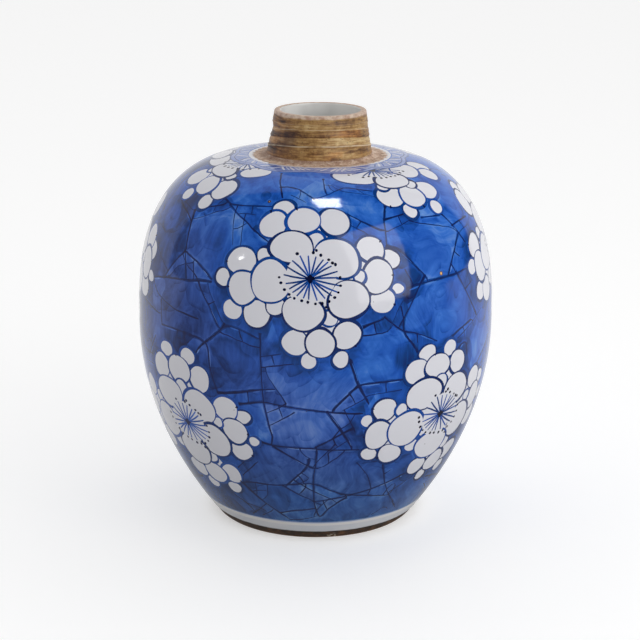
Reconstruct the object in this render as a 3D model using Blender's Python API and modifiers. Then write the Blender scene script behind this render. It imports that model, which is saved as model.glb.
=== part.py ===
"""Porcelain jar: an ovoid painted body under a short bare neck, on a turned foot ring.

The jar is modelled as a potter puts it together. A body thrown in two halves is joined at the
belly, a foot ring and a base disc close it below, a collar is set into the shoulder for the neck,
and a lute of clay slip seals each seam on the inside.

Units are metres and +Z is up. The origin is the middle of the circle that the foot stands on.
"""
import math

import bpy

# Heights, from the ground up
FOOT_RECESS = 0.0032
BASE_THICKNESS = 0.0038
LOWER_HEIGHT = 0.0810
UPPER_HEIGHT = 0.0659
NECK_HEIGHT = 0.0181

# Outer radii
FOOT_RADIUS = 0.0402
BELLY_RADIUS = 0.0713
SEAT_RADIUS = 0.0270
NECK_BASE_RADIUS = 0.0211
NECK_TOP_RADIUS = 0.0183
MOUTH_RADIUS = 0.0158

# How full the curves are: 1 is a straight cone, larger is rounder
LOWER_POWER = 2.03
UPPER_RADIAL_POWER = 2.25
UPPER_HEIGHT_POWER = 2.70
NECK_POWER = 1.15

# Walls, rims and seams
WALL = 0.0038
FOOT_CONTACT_WIDTH = 0.0052
FOOT_CHAMFER = 0.0006
FOOT_INNER_DRAFT = 0.0005
BASE_LEDGE_WIDTH = 0.0022
BASE_CHAMFER = 0.0003
LIP_ROUND = 0.0007
SPIGOT_LENGTH = 0.0058
SPIGOT_WALL = 0.0017
SEAM_GAP = 0.0003
NECK_REBATE = 0.0006

# Lutes: the slip that seals each seam on the inside
BASE_LUTE_WIDTH = 0.0065
BASE_LUTE_HEIGHT = 0.0060
BELLY_LUTE_HEIGHT = 0.0090
BELLY_LUTE_DEPTH = 0.0015
NECK_LUTE_WIDTH = 0.0046
NECK_LUTE_HEIGHT = 0.0022

# Smoothness of the turned shapes
STEPS_AROUND = 64
OUTSIDE_POINTS = 15
INSIDE_POINTS = 11
LUTE_POINTS = 4

# Levels worked out from the sizes above
BASE_TOP = FOOT_RECESS + SEAM_GAP + BASE_THICKNESS
BELLY_LEVEL = LOWER_HEIGHT
SEAT_LEVEL = LOWER_HEIGHT + UPPER_HEIGHT
RIM_LEVEL = SEAT_LEVEL + NECK_HEIGHT
SPIGOT_RADIUS = MOUTH_RADIUS + SPIGOT_WALL
HOLE_RADIUS = SPIGOT_RADIUS + SEAM_GAP
FOOT_INNER_RADIUS = FOOT_RADIUS - FOOT_CONTACT_WIDTH
LEDGE_RADIUS = FOOT_INNER_RADIUS + FOOT_INNER_DRAFT + BASE_LEDGE_WIDTH
REBATE_LEVEL = SEAT_LEVEL - NECK_REBATE

PAINTED_GLAZE = (0.12, 0.19, 0.58, 1.0)
WHITE_GLAZE = (0.74, 0.76, 0.78, 1.0)
BARE_NECK = (0.17, 0.085, 0.035, 1.0)
BARE_FOOT = (0.22, 0.115, 0.055, 1.0)
SLIP = (0.66, 0.64, 0.60, 1.0)


def lower_outline(fraction):
    """Point (radius, height) on the outside below the belly; fraction 0 is the ground."""
    height = LOWER_HEIGHT * fraction
    swell = 1.0 - (1.0 - fraction) ** LOWER_POWER
    return FOOT_RADIUS + (BELLY_RADIUS - FOOT_RADIUS) * swell, height


def upper_outline(fraction):
    """Point (radius, height) on the outside above the belly; fraction 1 is the seat's edge."""
    angle = fraction * math.pi / 2
    reach = max(math.cos(angle), 0.0) ** (2 / UPPER_RADIAL_POWER)
    rise = math.sin(angle) ** (2 / UPPER_HEIGHT_POWER)
    return SEAT_RADIUS + (BELLY_RADIUS - SEAT_RADIUS) * reach, BELLY_LEVEL + UPPER_HEIGHT * rise


def inner_point(outline, fraction):
    """Point on the inside of the wall, WALL behind the outline, square to it."""
    nudge = 0.0005
    radius_before, height_before = outline(max(fraction - nudge, 0.0))
    radius_after, height_after = outline(min(fraction + nudge, 1.0))
    run = radius_after - radius_before
    rise = height_after - height_before
    length = math.hypot(run, rise)
    radius, height = outline(fraction)
    return radius - WALL * rise / length, height + WALL * run / length


def fraction_at(point_at, level):
    """Fraction along an outline at which it reaches a level, found by halving."""
    low, high = 0.0, 1.0
    for _ in range(50):
        middle = (low + high) / 2
        if point_at(middle)[1] < level:
            low = middle
        else:
            high = middle
    return (low + high) / 2


def stretch(point_at, low_level, high_level, count):
    """Points on an outline between two levels, from the top down."""
    low = fraction_at(point_at, low_level)
    high = fraction_at(point_at, high_level)
    return [point_at(high + (low - high) * index / (count - 1)) for index in range(count)]


def lower_inside(fraction):
    """Point on the inside of the lower wall."""
    return inner_point(lower_outline, fraction)


def upper_inside(fraction):
    """Point on the inside of the upper wall."""
    return inner_point(upper_outline, fraction)


def material(name, color, roughness):
    """A Principled material with one colour and roughness."""
    finish = bpy.data.materials.new(name)
    finish.use_nodes = True
    shader = finish.node_tree.nodes["Principled BSDF"]
    shader.inputs["Base Color"].default_value = color
    shader.inputs["Roughness"].default_value = roughness
    shader.inputs["Metallic"].default_value = 0.0
    finish.diffuse_color = color
    return finish


def turned(name, profile, collection, color, roughness, closed=True):
    """A turned solid: a profile of (radius, height) points, swept a full turn about Z.

    The profile runs down the outer side and back up the inner side. A closed one is a ring, and
    an open one starts and ends on the axis.
    """
    mesh = bpy.data.meshes.new(name)
    points = [(radius, 0.0, height) for radius, height in profile]
    edges = [(index, index + 1) for index in range(len(points) - 1)]
    if closed:
        edges.append((len(points) - 1, 0))
    mesh.from_pydata(points, edges, [])
    piece = bpy.data.objects.new(name, mesh)
    collection.objects.link(piece)
    screw = piece.modifiers.new("turn", "SCREW")
    screw.axis = "Z"
    screw.angle = math.tau
    screw.screw_offset = 0.0
    screw.steps = STEPS_AROUND
    screw.render_steps = STEPS_AROUND
    screw.use_merge_vertices = True
    screw.merge_threshold = 0.00001
    screw.use_smooth_shade = True
    mesh.materials.append(material(name, color, roughness))
    return piece


def foot_ring(collection):
    """The turned foot: a bevelled ring with a ledge inside that carries the base disc."""
    outside = stretch(lower_outline, FOOT_CHAMFER, BASE_TOP, 4)
    profile = outside + [
        (FOOT_RADIUS - FOOT_CHAMFER, 0.0),
        (FOOT_INNER_RADIUS, 0.0),
        (FOOT_INNER_RADIUS + FOOT_INNER_DRAFT, FOOT_RECESS),
        (LEDGE_RADIUS, FOOT_RECESS),
        (LEDGE_RADIUS, BASE_TOP),
    ]
    return turned("foot_ring", profile, collection, BARE_FOOT, 0.75)


def base_disc(collection):
    """The flat floor of the jar, dropped onto the ledge in the foot."""
    radius = LEDGE_RADIUS - SEAM_GAP
    underside = FOOT_RECESS + SEAM_GAP
    profile = [
        (0.0, BASE_TOP),
        (radius - BASE_CHAMFER, BASE_TOP),
        (radius, BASE_TOP - BASE_CHAMFER),
        (radius, underside),
        (0.0, underside),
    ]
    return turned("base_disc", profile, collection, WHITE_GLAZE, 0.35, closed=False)


def lower_body(collection):
    """The lower half of the body, from the foot's top to the seam at the belly."""
    bottom = BASE_TOP + SEAM_GAP
    top = BELLY_LEVEL - SEAM_GAP / 2
    outside = stretch(lower_outline, bottom, top, OUTSIDE_POINTS)
    inside = stretch(lower_inside, bottom, top, INSIDE_POINTS)
    return turned("lower_body", outside + inside[::-1], collection, PAINTED_GLAZE, 0.12)


def upper_body(collection):
    """The upper half of the body, with the flat bare seat and the rebated hole for the neck."""
    bottom = BELLY_LEVEL + SEAM_GAP / 2
    outside = stretch(upper_outline, bottom, SEAT_LEVEL, OUTSIDE_POINTS)
    inside = stretch(upper_inside, bottom, SEAT_LEVEL - WALL, INSIDE_POINTS)
    hole = [
        (HOLE_RADIUS, SEAT_LEVEL - WALL),
        (HOLE_RADIUS, REBATE_LEVEL),
        (NECK_BASE_RADIUS + SEAM_GAP, REBATE_LEVEL),
        (NECK_BASE_RADIUS + SEAM_GAP, SEAT_LEVEL),
    ]
    return turned("upper_body", outside + inside[::-1] + hole, collection, PAINTED_GLAZE, 0.12)


def neck(collection):
    """The neck collar: a tapering wall, a rounded lip, and a spigot down through the shoulder."""
    bottom = REBATE_LEVEL + SEAM_GAP
    side_top = RIM_LEVEL - LIP_ROUND
    count = 6
    side = []
    for index in range(count):
        fraction = index / (count - 1)
        swell = (NECK_BASE_RADIUS - NECK_TOP_RADIUS) * fraction ** NECK_POWER
        side.append((NECK_TOP_RADIUS + swell, side_top + (bottom - side_top) * fraction))
    profile = [(NECK_TOP_RADIUS - LIP_ROUND, RIM_LEVEL)] + side + [
        (SPIGOT_RADIUS, bottom),
        (SPIGOT_RADIUS, SEAT_LEVEL - SPIGOT_LENGTH),
        (MOUTH_RADIUS, SEAT_LEVEL - SPIGOT_LENGTH),
        (MOUTH_RADIUS, RIM_LEVEL - LIP_ROUND / 2),
        (MOUTH_RADIUS + LIP_ROUND / 2, RIM_LEVEL),
    ]
    return turned("neck", profile, collection, BARE_NECK, 0.6)


def base_lute(collection):
    """The fillet of slip round the floor, in the corner with the wall."""
    bottom = BASE_TOP + SEAM_GAP
    wall_side = [
        (radius - SEAM_GAP, height)
        for radius, height in stretch(lower_inside, bottom, bottom + BASE_LUTE_HEIGHT, LUTE_POINTS)
    ]
    top_radius, top_height = wall_side[0]
    toe_radius = wall_side[-1][0] - BASE_LUTE_WIDTH
    hollow = []
    for index in range(LUTE_POINTS - 1):
        angle = math.pi / 2 * index / (LUTE_POINTS - 1)
        hollow.append((
            toe_radius + (top_radius - SEAM_GAP - toe_radius) * math.sin(angle),
            top_height - (top_height - bottom - SEAM_GAP) * math.cos(angle),
        ))
    profile = wall_side + [(toe_radius, bottom)] + hollow
    return turned("base_lute", profile, collection, SLIP, 0.4)


def belly_lute(collection):
    """The low ridge of slip inside the belly, over the seam between the halves."""
    half = BELLY_LUTE_HEIGHT / 2
    above = stretch(upper_inside, BELLY_LEVEL + SEAM_GAP, BELLY_LEVEL + half, 3)
    below = stretch(lower_inside, BELLY_LEVEL - half, BELLY_LEVEL - SEAM_GAP, 3)
    back = [(radius - SEAM_GAP, height) for radius, height in above + below]
    top_radius, top_height = back[0]
    low_radius, low_height = back[-1]
    ridge = []
    for index in range(1, LUTE_POINTS + 1):
        fraction = index / (LUTE_POINTS + 1)
        bulge = BELLY_LUTE_DEPTH * math.sin(math.pi * fraction)
        ridge.append((
            low_radius + (top_radius - low_radius) * fraction - bulge,
            low_height + (top_height - low_height) * fraction,
        ))
    return turned("belly_lute", back + ridge, collection, SLIP, 0.4)


def neck_lute(collection):
    """The fillet of slip round the neck's spigot, under the shoulder."""
    top = SEAT_LEVEL - WALL - SEAM_GAP
    inner = SPIGOT_RADIUS + SEAM_GAP
    profile = [
        (inner + NECK_LUTE_WIDTH, top),
        (inner + NECK_LUTE_WIDTH * 0.40, top - NECK_LUTE_HEIGHT * 0.35),
        (inner + NECK_LUTE_WIDTH * 0.15, top - NECK_LUTE_HEIGHT),
        (inner, top - NECK_LUTE_HEIGHT),
        (inner, top),
    ]
    return turned("neck_lute", profile, collection, SLIP, 0.4)


def main():
    """Clear the scene and build every piece of the jar."""
    for old in list(bpy.data.objects):
        bpy.data.objects.remove(old, do_unlink=True)
    jar = bpy.data.collections.new("porcelain_jar")
    bpy.context.scene.collection.children.link(jar)
    for build_piece in (
        foot_ring, base_disc, lower_body, upper_body, neck, base_lute, belly_lute, neck_lute,
    ):
        build_piece(jar)


if __name__ == "__main__":
    main()
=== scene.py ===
"""Porcelain jar painted with prunus blossom on cracked ice, dressed over its fixed frame.

Everything is in metres in the frame's own space: +Z up, -Y towards the camera. The painter's
sizes are in millimetres, and places on the round body are (azimuth, elevation) in degrees, seen
from a core point inside the jar. Azimuth 0 faces the camera and grows to the right.
"""
import logging
import math
import random
from dataclasses import dataclass, field
from enum import Enum

import bmesh
import bpy
import numpy as np
from mathutils import Matrix, Quaternion, Vector, kdtree
from mathutils.geometry import delaunay_2d_cdt


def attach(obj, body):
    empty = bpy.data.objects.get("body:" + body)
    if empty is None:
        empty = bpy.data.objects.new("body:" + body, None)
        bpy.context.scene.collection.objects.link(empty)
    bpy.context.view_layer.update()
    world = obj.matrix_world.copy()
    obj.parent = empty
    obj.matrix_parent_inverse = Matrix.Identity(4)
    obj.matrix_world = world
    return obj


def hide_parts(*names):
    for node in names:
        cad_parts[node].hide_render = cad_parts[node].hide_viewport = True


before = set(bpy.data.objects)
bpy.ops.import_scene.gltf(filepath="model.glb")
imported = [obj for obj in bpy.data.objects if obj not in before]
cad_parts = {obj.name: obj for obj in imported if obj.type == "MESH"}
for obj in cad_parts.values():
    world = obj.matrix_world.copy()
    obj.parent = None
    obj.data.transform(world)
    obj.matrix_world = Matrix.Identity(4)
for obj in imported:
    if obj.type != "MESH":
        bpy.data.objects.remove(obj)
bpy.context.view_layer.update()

MM = 0.001
AROUND = 256
Place = tuple[float, float]
Colour = tuple[float, float, float]
Stops = tuple[tuple[float, Colour], ...]
log = logging.getLogger("jar")


def tint(red: int, green: int, blue: int) -> Colour:
    """Linear colour for the shader from the usual 0 to 255 steps.

    Args:
        red: from 0 to 255.
        green: from 0 to 255.
        blue: from 0 to 255.

    Returns:
        The three parts, from 0 to 1.
    """
    return tuple(
        value / 255 / 12.92 if value <= 10 else ((value / 255 + 0.055) / 1.055) ** 2.4
        for value in (red, green, blue)
    )


@dataclass
class JarOutline:
    """The turned outline of the body, in millimetres."""

    foot_radius: float = 40.2
    belly_radius: float = 71.3
    seat_radius: float = 27.0
    painted_to_radius: float = 24.0
    belly_level: float = 81.0
    seat_level: float = 146.9
    foot_joint_level: float = 7.45
    lower_power: float = 2.03
    reach_power: float = 2.25
    rise_power: float = 2.70
    wall: float = 3.8
    core_level: float = 77.5
    steps_below: int = 900
    steps_above: int = 1800
    steps_on_seat: int = 12

    def __post_init__(self) -> None:
        """Tabulate the outline from the ground to the flat seat round the neck."""
        share = np.linspace(0.0, 1.0, self.steps_below)
        angle = np.linspace(0.0, math.pi / 2, self.steps_above)[1:]
        swell = 1 - (1 - share) ** self.lower_power
        low = self.foot_radius + (self.belly_radius - self.foot_radius) * swell
        reach = np.maximum(np.cos(angle), 0.0) ** (2 / self.reach_power)
        high = self.seat_radius + (self.belly_radius - self.seat_radius) * reach
        rise = (self.seat_level - self.belly_level) * np.sin(angle) ** (2 / self.rise_power)
        flat = np.linspace(self.seat_radius, self.painted_to_radius, self.steps_on_seat)[1:]
        self.radius = np.concatenate([low, high, flat])
        self.level = np.concatenate([
            self.belly_level * share, self.belly_level + rise, np.full(len(flat), self.seat_level),
        ])
        run, climb = np.diff(self.radius), np.diff(self.level)
        step = np.hypot(run, climb)
        self.along = np.concatenate([[0.0], np.cumsum(step)])
        middle = (self.along[1:] + self.along[:-1]) / 2
        self.out = np.interp(self.along, middle, climb / step)
        self.up = np.interp(self.along, middle, -run / step)
        self.elevation = np.arctan2(self.level - self.core_level, self.radius)
        self.bottom = float(np.interp(self.foot_joint_level, self.level, self.elevation))
        self.belly = float(np.interp(self.belly_level, self.level, self.elevation))
        self.top = float(self.elevation[-1])

    def surface(self, directions: np.ndarray) -> tuple[np.ndarray, np.ndarray]:
        """Points on the body and their normals.

        Args:
            directions: unit vectors from the core point, one a row.

        Returns:
            Points in millimetres, and unit normals.
        """
        elevation = np.arcsin(np.clip(directions[:, 2], -1, 1))
        turn = directions[:, :2] / np.maximum(np.hypot(directions[:, 0], directions[:, 1]), 1e-9)[:, None]
        radius = np.interp(elevation, self.elevation, self.radius)
        level = np.interp(elevation, self.elevation, self.level)
        out = np.interp(elevation, self.elevation, self.out)
        up = np.interp(elevation, self.elevation, self.up)
        points = np.column_stack([turn * radius[:, None], level])
        normals = np.column_stack([turn * out[:, None], up])
        return points, normals / np.linalg.norm(normals, axis=1)[:, None]

    def distance(self, elevation: float) -> float:
        """Distance in millimetres from the core point to the body at an elevation in radians."""
        reach = np.hypot(self.radius, self.level - self.core_level)
        return float(np.interp(elevation, self.elevation, reach))

    def at_radius(self, radius: float) -> float:
        """Elevation in radians at which the shoulder has this radius in millimetres."""
        first = len(self.radius) // 2
        return float(np.interp(-radius, -self.radius[first:], self.elevation[first:]))

    def inside(self, low: float, high: float, count: int) -> list[Place]:
        """Points (radius, level) on the inside of the wall.

        Args:
            low: the lowest level, in millimetres.
            high: the highest level, in millimetres.
            count: how many points.

        Returns:
            The points from the bottom up.
        """
        radius = self.radius - self.wall * self.out
        level = self.level - self.wall * self.up
        levels = np.linspace(low, high, count)
        return [(float(np.interp(value, level, radius)), float(value)) for value in levels]


OUTLINE = JarOutline()


def aim(azimuth: float, elevation: float) -> np.ndarray:
    """Unit vector from the core point towards a place given in degrees."""
    turn, lift = math.radians(azimuth), math.radians(elevation)
    return np.array([math.cos(lift) * math.sin(turn), -math.cos(lift) * math.cos(turn), math.sin(lift)])


def flatten(directions: np.ndarray) -> np.ndarray:
    """Stereographic picture of directions, on which small shapes keep their form."""
    return directions[:, :2] / (1 + directions[:, 2])[:, None]


def unflatten(flat: np.ndarray) -> np.ndarray:
    """Directions back from their stereographic picture."""
    square = (flat ** 2).sum(axis=1)
    return np.column_stack([2 * flat / (1 + square)[:, None], (1 - square) / (1 + square)])


class Paint(Enum):
    """What a touch leaves: (cobalt, share of wash, iron, 1 for bare clay or 2 for an opening)."""

    GLAZE = (0.0, 0.0, 0.0, 0)
    HEART = (0.005, 0.0, 0.0, 0)
    GROUND = (0.60, 1.0, 0.0, 0)
    FEATHER = (0.16, 0.3, 0.0, 0)
    BREATH = (0.41, 0.55, 0.0, 0)
    BAND = (0.27, 0.5, 0.0, 0)
    HATCH = (0.50, 0.2, 0.0, 0)
    FINE_LINE = (0.66, 0.1, 0.0, 0)
    STAMEN = (0.67, 0.0, 0.0, 0)
    CONTOUR = (0.69, 0.0, 0.0, 0)
    SHADOW = (0.76, 0.1, 0.0, 0)
    BLEED = (0.66, 0.9, 0.0, 0)
    CRACK_FINE = (0.79, 0.15, 0.0, 0)
    CRACK = (0.84, 0.1, 0.0, 0)
    INK = (0.97, 0.0, 0.0, 0)
    RUST = (0.1, 0.0, 1.0, 0)
    RUST_HEART = (0.1, 0.0, 0.45, 0)
    CLAY = (0.0, 0.0, 0.0, 1)
    OPENING = (0.0, 0.0, 0.0, 2)


@dataclass
class Skin:
    """The painted outer skin as loose arrays, before it is cut into pieces."""

    points: np.ndarray
    normals: np.ndarray
    faces: np.ndarray
    cobalt: np.ndarray
    wash: np.ndarray
    iron: np.ndarray
    clay: np.ndarray
    rim: np.ndarray = field(default_factory=lambda: np.zeros(0))
    violet: np.ndarray = field(default_factory=lambda: np.zeros(0))
    pool: np.ndarray = field(default_factory=lambda: np.zeros(0))
    mist: np.ndarray = field(default_factory=lambda: np.zeros(0))


class Canvas:
    """The round body as a painter's sheet: touches are laid down in order and then cut out."""

    # Millimetres: the body's usual distance from the core point, and between a line's corners
    usual_distance = 74.0
    line_step = 2.0
    # The hand: its tremble as a share of that distance, how its pressure swings, jitters, starts, ends
    tremble = 0.0009
    pressure_swing = 0.22
    pressure_waves = 5.0
    pressure_jitter = 0.08
    pressure_at_start = 1.35
    pressure_at_end = 0.6
    # How much more or less cobalt than usual a line may hold
    shade_jitter = 0.05
    # Points closer than this in the flat picture are taken as one
    merge_distance = 1e-5
    # Shares of the spacing: between rows of filling points, and kept clear round the touches
    row_share = 0.87
    clear_share = 0.42

    def __init__(self, outline: JarOutline, seed: int) -> None:
        """Start an empty sheet.

        Args:
            outline: the body that is painted.
            seed: starts the hand's small irregularities.
        """
        self.outline = outline
        self.hand = random.Random(seed)
        self.loops: list[np.ndarray] = []
        self.paints: list[Paint] = []
        self.shades: list[float] = []

    def fill(self, directions: np.ndarray, paint: Paint, shade: float = 0.0) -> None:
        """Lay down one closed touch.

        Args:
            directions: its edge, as unit vectors.
            paint: what it leaves.
            shade: how much more cobalt it holds than usual.
        """
        flat = flatten(directions)
        following = np.roll(flat, -1, axis=0)
        area = (flat[:, 0] * following[:, 1] - following[:, 0] * flat[:, 1]).sum()
        self.loops.append(flat if area > 0 else flat[::-1])
        self.paints.append(paint)
        self.shades.append(shade)

    def stroke(self, path: np.ndarray, widths: list[float], paint: Paint, shade: float = 0.0) -> None:
        """Lay down a line.

        Args:
            path: unit vectors along its middle.
            widths: its full width at each of them, in millimetres.
            paint: what it leaves.
            shade: how much more cobalt it holds than usual.
        """
        along = np.gradient(path, axis=0)
        side = np.cross(path, along)
        side /= np.linalg.norm(side, axis=1)[:, None]
        half = np.array([
            width / 2 / self.outline.distance(math.asin(max(-1.0, min(1.0, float(point[2])))))
            for point, width in zip(path, widths)
        ])[:, None]
        left, right = path + side * half, path - side * half
        loop = np.concatenate([left, right[::-1]])
        self.fill(loop / np.linalg.norm(loop, axis=1)[:, None], paint, shade)

    def line(self, places: list[Place], width: float, paint: Paint) -> None:
        """Draw a freehand line through places given in degrees.

        Args:
            places: (azimuth, elevation) corners.
            width: usual full width in millimetres.
            paint: what it leaves.
        """
        corners = [aim(*place) for place in places]
        path = [corners[0]]
        for start, end in zip(corners, corners[1:]):
            gap = float(np.linalg.norm(end - start)) * self.usual_distance
            count = max(1, round(gap / self.line_step))
            for index in range(1, count + 1):
                share = index / count
                path.append(start + (end - start) * share)
        middle = np.array(path)
        if len(middle) > 3:
            middle[1:-1] = middle[1:-1] * 0.5 + (middle[:-2] + middle[2:]) * 0.25
        wobble = np.array([[self.hand.gauss(0, self.tremble) for _ in range(3)] for _ in middle])
        middle = middle + wobble
        middle /= np.linalg.norm(middle, axis=1)[:, None]
        phase = self.hand.uniform(0, math.tau)
        widths = []
        for index in range(len(middle)):
            share = index / max(len(middle) - 1, 1)
            press = 1.0 + self.pressure_swing * math.sin(phase + self.pressure_waves * share)
            press += self.hand.uniform(-self.pressure_jitter, self.pressure_jitter)
            widths.append(width * press * (1.0 if index else self.pressure_at_start))
        widths[-1] *= self.pressure_at_end
        shade = self.hand.uniform(-self.shade_jitter, self.shade_jitter)
        self.stroke(middle, widths, paint, shade)

    def circle(self, elevation: float, ripple: float = 0.0) -> np.ndarray:
        """Directions round the jar at one elevation.

        Args:
            elevation: the elevation in radians.
            ripple: how far it wanders up and down, in radians.

        Returns:
            The closed loop's unit vectors.
        """
        phases = [self.hand.uniform(0, math.tau) for _ in range(6)]
        loop = []
        for index in range(AROUND):
            turn = math.tau * index / AROUND
            waves = sum(math.sin(count * turn + phases[count - 1]) / count for count in (2, 3, 5))
            wander = waves / 1.2
            lift = elevation + ripple * wander
            flat = math.cos(lift)
            loop.append((flat * math.sin(turn), -flat * math.cos(turn), math.sin(lift)))
        return np.array(loop)

    def cut_out(self, spacing: float) -> Skin:
        """Cut every touch out along its edge and keep the topmost paint of each scrap.

        Args:
            spacing: distance in millimetres between the points that keep the skin round.

        Returns:
            The whole painted skin.
        """
        flat = [point for loop in self.loops for point in loop]
        loops, start = [], 0
        for loop in self.loops:
            loops.append(list(range(start, start + len(loop))))
            start += len(loop)
        belly = flatten(self.circle(self.outline.belly))
        edges = [(start + index, start + (index + 1) % AROUND) for index in range(AROUND)]
        flat.extend(belly)
        flat.extend(self._filling(np.array(flat), spacing))
        vectors = [Vector((float(x), float(y))) for x, y in flat]
        made = delaunay_2d_cdt(vectors, edges, loops, 0, self.merge_distance, True)
        vertices, faces, origins = made[0], made[2], made[5]
        top = np.array([max(origin) if origin else -1 for origin in origins])
        paints = np.array([paint.value for paint in self.paints])
        keep = (top >= 0) & (paints[top, 3] < Paint.OPENING.value[3])
        triangles = np.array([list(face) for face in faces])[keep]
        top = top[keep]
        used, triangles = np.unique(triangles, return_inverse=True)
        triangles = triangles.reshape(-1, 3)
        spots = np.array([(vertex.x, vertex.y) for vertex in vertices])[used]
        points, normals = self.outline.surface(unflatten(spots))
        cobalt = paints[top, 0] + np.array(self.shades)[top]
        return Skin(points, normals, triangles, cobalt, paints[top, 1], paints[top, 2], paints[top, 3])

    def _filling(self, taken: np.ndarray, spacing: float) -> list[Place]:
        """Evenly spread points between the touches, in the flat picture.

        Args:
            taken: the touches' points in the flat picture.
            spacing: distance between points in millimetres.

        Returns:
            The points.
        """
        known, _ = self.outline.surface(unflatten(taken))
        tree = kdtree.KDTree(len(known))
        for index, point in enumerate(known):
            tree.insert(point, index)
        tree.balance()
        low = np.interp(self.outline.bottom, self.outline.elevation, self.outline.along)
        high = self.outline.along[-1]
        rows = int((high - low) / (spacing * self.row_share))
        extra = []
        for row in range(1, rows):
            along = low + (high - low) * row / rows
            elevation = float(np.interp(along, self.outline.along, self.outline.elevation))
            radius = float(np.interp(along, self.outline.along, self.outline.radius))
            count = int(math.tau * radius / spacing)
            turns = (np.arange(count) + 0.5 * (row % 2)) * math.tau / count
            flat = math.cos(elevation)
            ring = np.column_stack([
                flat * np.sin(turns), -flat * np.cos(turns), np.full(count, math.sin(elevation)),
            ])
            spots, _ = self.outline.surface(ring)
            for spot, point in zip(spots, flatten(ring)):
                if tree.find(spot)[2] > spacing * self.clear_share:
                    extra.append(tuple(point))
        return extra


Oval = tuple[float, ...]


@dataclass(frozen=True)
class Blossom:
    """One prunus head, as ovals (right, up, half width, half height, turn) on its own plane."""

    main: tuple[Oval, ...]
    side: tuple[Oval, ...] = ()
    middle: tuple[Oval, ...] = ()
    small: tuple[Oval, ...] = ()
    filler: tuple[Oval, ...] = ()
    heart: Place = (-0.2, 0.0)
    heart_radius: float = 9.3
    fan_ends: tuple[Place, ...] = ()
    pollen: tuple[Place, ...] = ()
    pale: float = 0.0


FULL_FAN = (
    (-4, 8.3), (-6.8, 6.6), (-9, 4.6), (-10, 1.6), (-9.3, -1.6), (-8, -3.6), (-6.8, -4.9),
    (-5.2, -6.2), (-2.7, -7), (-0.7, -7.5), (2.5, -7.8), (5.5, -7), (8, -5.9), (10, -4.5),
    (10.6, -2.1), (10.5, 0.7), (9.8, 3), (7.5, 4.8), (4.5, 7), (1.8, 8), (-1, 8.3), (6.2, 6.2),
)
FULL_POLLEN = (
    (-11.7, 0.7), (-11.1, -1.3), (-9.8, -3.8), (-8, -5.6), (-6.1, -7), (-3.3, -7.9), (-1, -8.4),
    (1.9, -9), (4.4, -8.9), (7, -8), (9.1, -6.5), (10.4, -4.6), (11.1, -2.1), (10.8, 0.8),
    (8.9, 5.4), (6.4, 7), (3.5, 8.5), (0.8, 9.4), (-5, 9), (6, -10.2), (7, -10.7), (7.8, 5.9), (1.9, 10.2),
)
BELLY_BLOSSOM = Blossom(
    main=(
        (-7.3, 11.5, 8.2, 6.1), (9.8, 7.8, 8.8, 7.0, -30), (14.8, -7.4, 8.5, 7.4),
        (-2.8, -12.8, 8.4, 7.0), (-15.2, -0.6, 8.3, 8.0),
    ),
    side=(
        (-14.2, 21, 5.6, 5.8), (8.3, 21.6, 5.8, 6.0), (22.3, 12.2, 5.8, 5.3),
        (29.3, -6.8, 6.0, 5.4), (-6.6, -25, 5.9, 5.8), (15.2, -21.5, 6.4, 6.2),
        (-27.3, 7.9, 6.7, 5.6), (-21.8, -13, 6.3, 5.8),
    ),
    middle=((-3.1, 21.9, 6.5, 5.6), (26, 2.4, 6.8, 6.9), (4.2, -25.2, 6.4, 6.6), (-27.2, -2.6, 6.9, 7.0)),
    small=(
        (-10.6, 28, 4.4, 3.8), (31, 9.8, 4.7, 4.0), (36, -1.3, 3.4, 2.4), (-0.6, -33.6, 3.6, 4.3),
        (13.3, -32.8, 3.9, 4.4), (-36.5, 2.3, 4.0, 4.0), (-33, -11, 5.0, 4.7),
    ),
    filler=(
        (1.8, 13.5, 3.6, 3.6), (18.5, 1.5, 2.5, 2.5), (7.5, -14.5, 3.4, 3.4), (-17.5, 9, 3.0, 3.0),
        (-13.5, -9.6, 4.2, 4.2),
    ),
    fan_ends=FULL_FAN,
    pollen=FULL_POLLEN,
)
LEFT_BLOSSOM = Blossom(
    main=(
        (-9.5, 11, 9.4, 7.0), (8.7, 9, 8.8, 7.3, -20), (13, -5.6, 7.7, 7.6), (-0.8, -12.8, 8.6, 7.0),
        (-15.5, -4, 8.4, 8.0),
    ),
    side=(
        (-13.3, 22.4, 6.4, 6.3), (11.5, 21.8, 5.6, 6.4), (22.8, 10.4, 6.2, 5.8),
        (25.2, -9.6, 5.3, 5.2), (-4, -22.8, 5.2, 4.8), (15.2, -21.8, 5.0, 5.2), (-28, 8, 5.5, 5.5),
        (-21.5, -15, 5.0, 5.0),
    ),
    middle=((-0.4, 23.6, 7.4, 6.4), (24.9, -0.2, 6.1, 6.2), (6.3, -23, 6.0, 5.5), (-31, -2, 6.0, 6.0)),
    small=(
        (-8.8, 31.2, 4.8, 4.0), (5.6, 31.2, 4.7, 4.2), (31, 6.7, 4.1, 3.5), (33.1, -5.2, 2.9, 2.6),
        (1.6, -29.3, 3.2, 3.4), (13.4, -29.8, 3.5, 3.6), (-37, 3.5, 3.6, 3.4), (-30, -12.5, 3.8, 3.4),
    ),
    filler=(
        (0.3, 15.5, 3.8, 3.8), (17.3, 3.3, 2.5, 2.5), (7.8, -14.2, 3.2, 3.2), (-19.5, 5.8, 3.0, 3.0),
        (-10.5, -11.8, 3.6, 3.6),
    ),
    fan_ends=FULL_FAN,
    pollen=FULL_POLLEN,
    pale=0.12,
)
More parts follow.
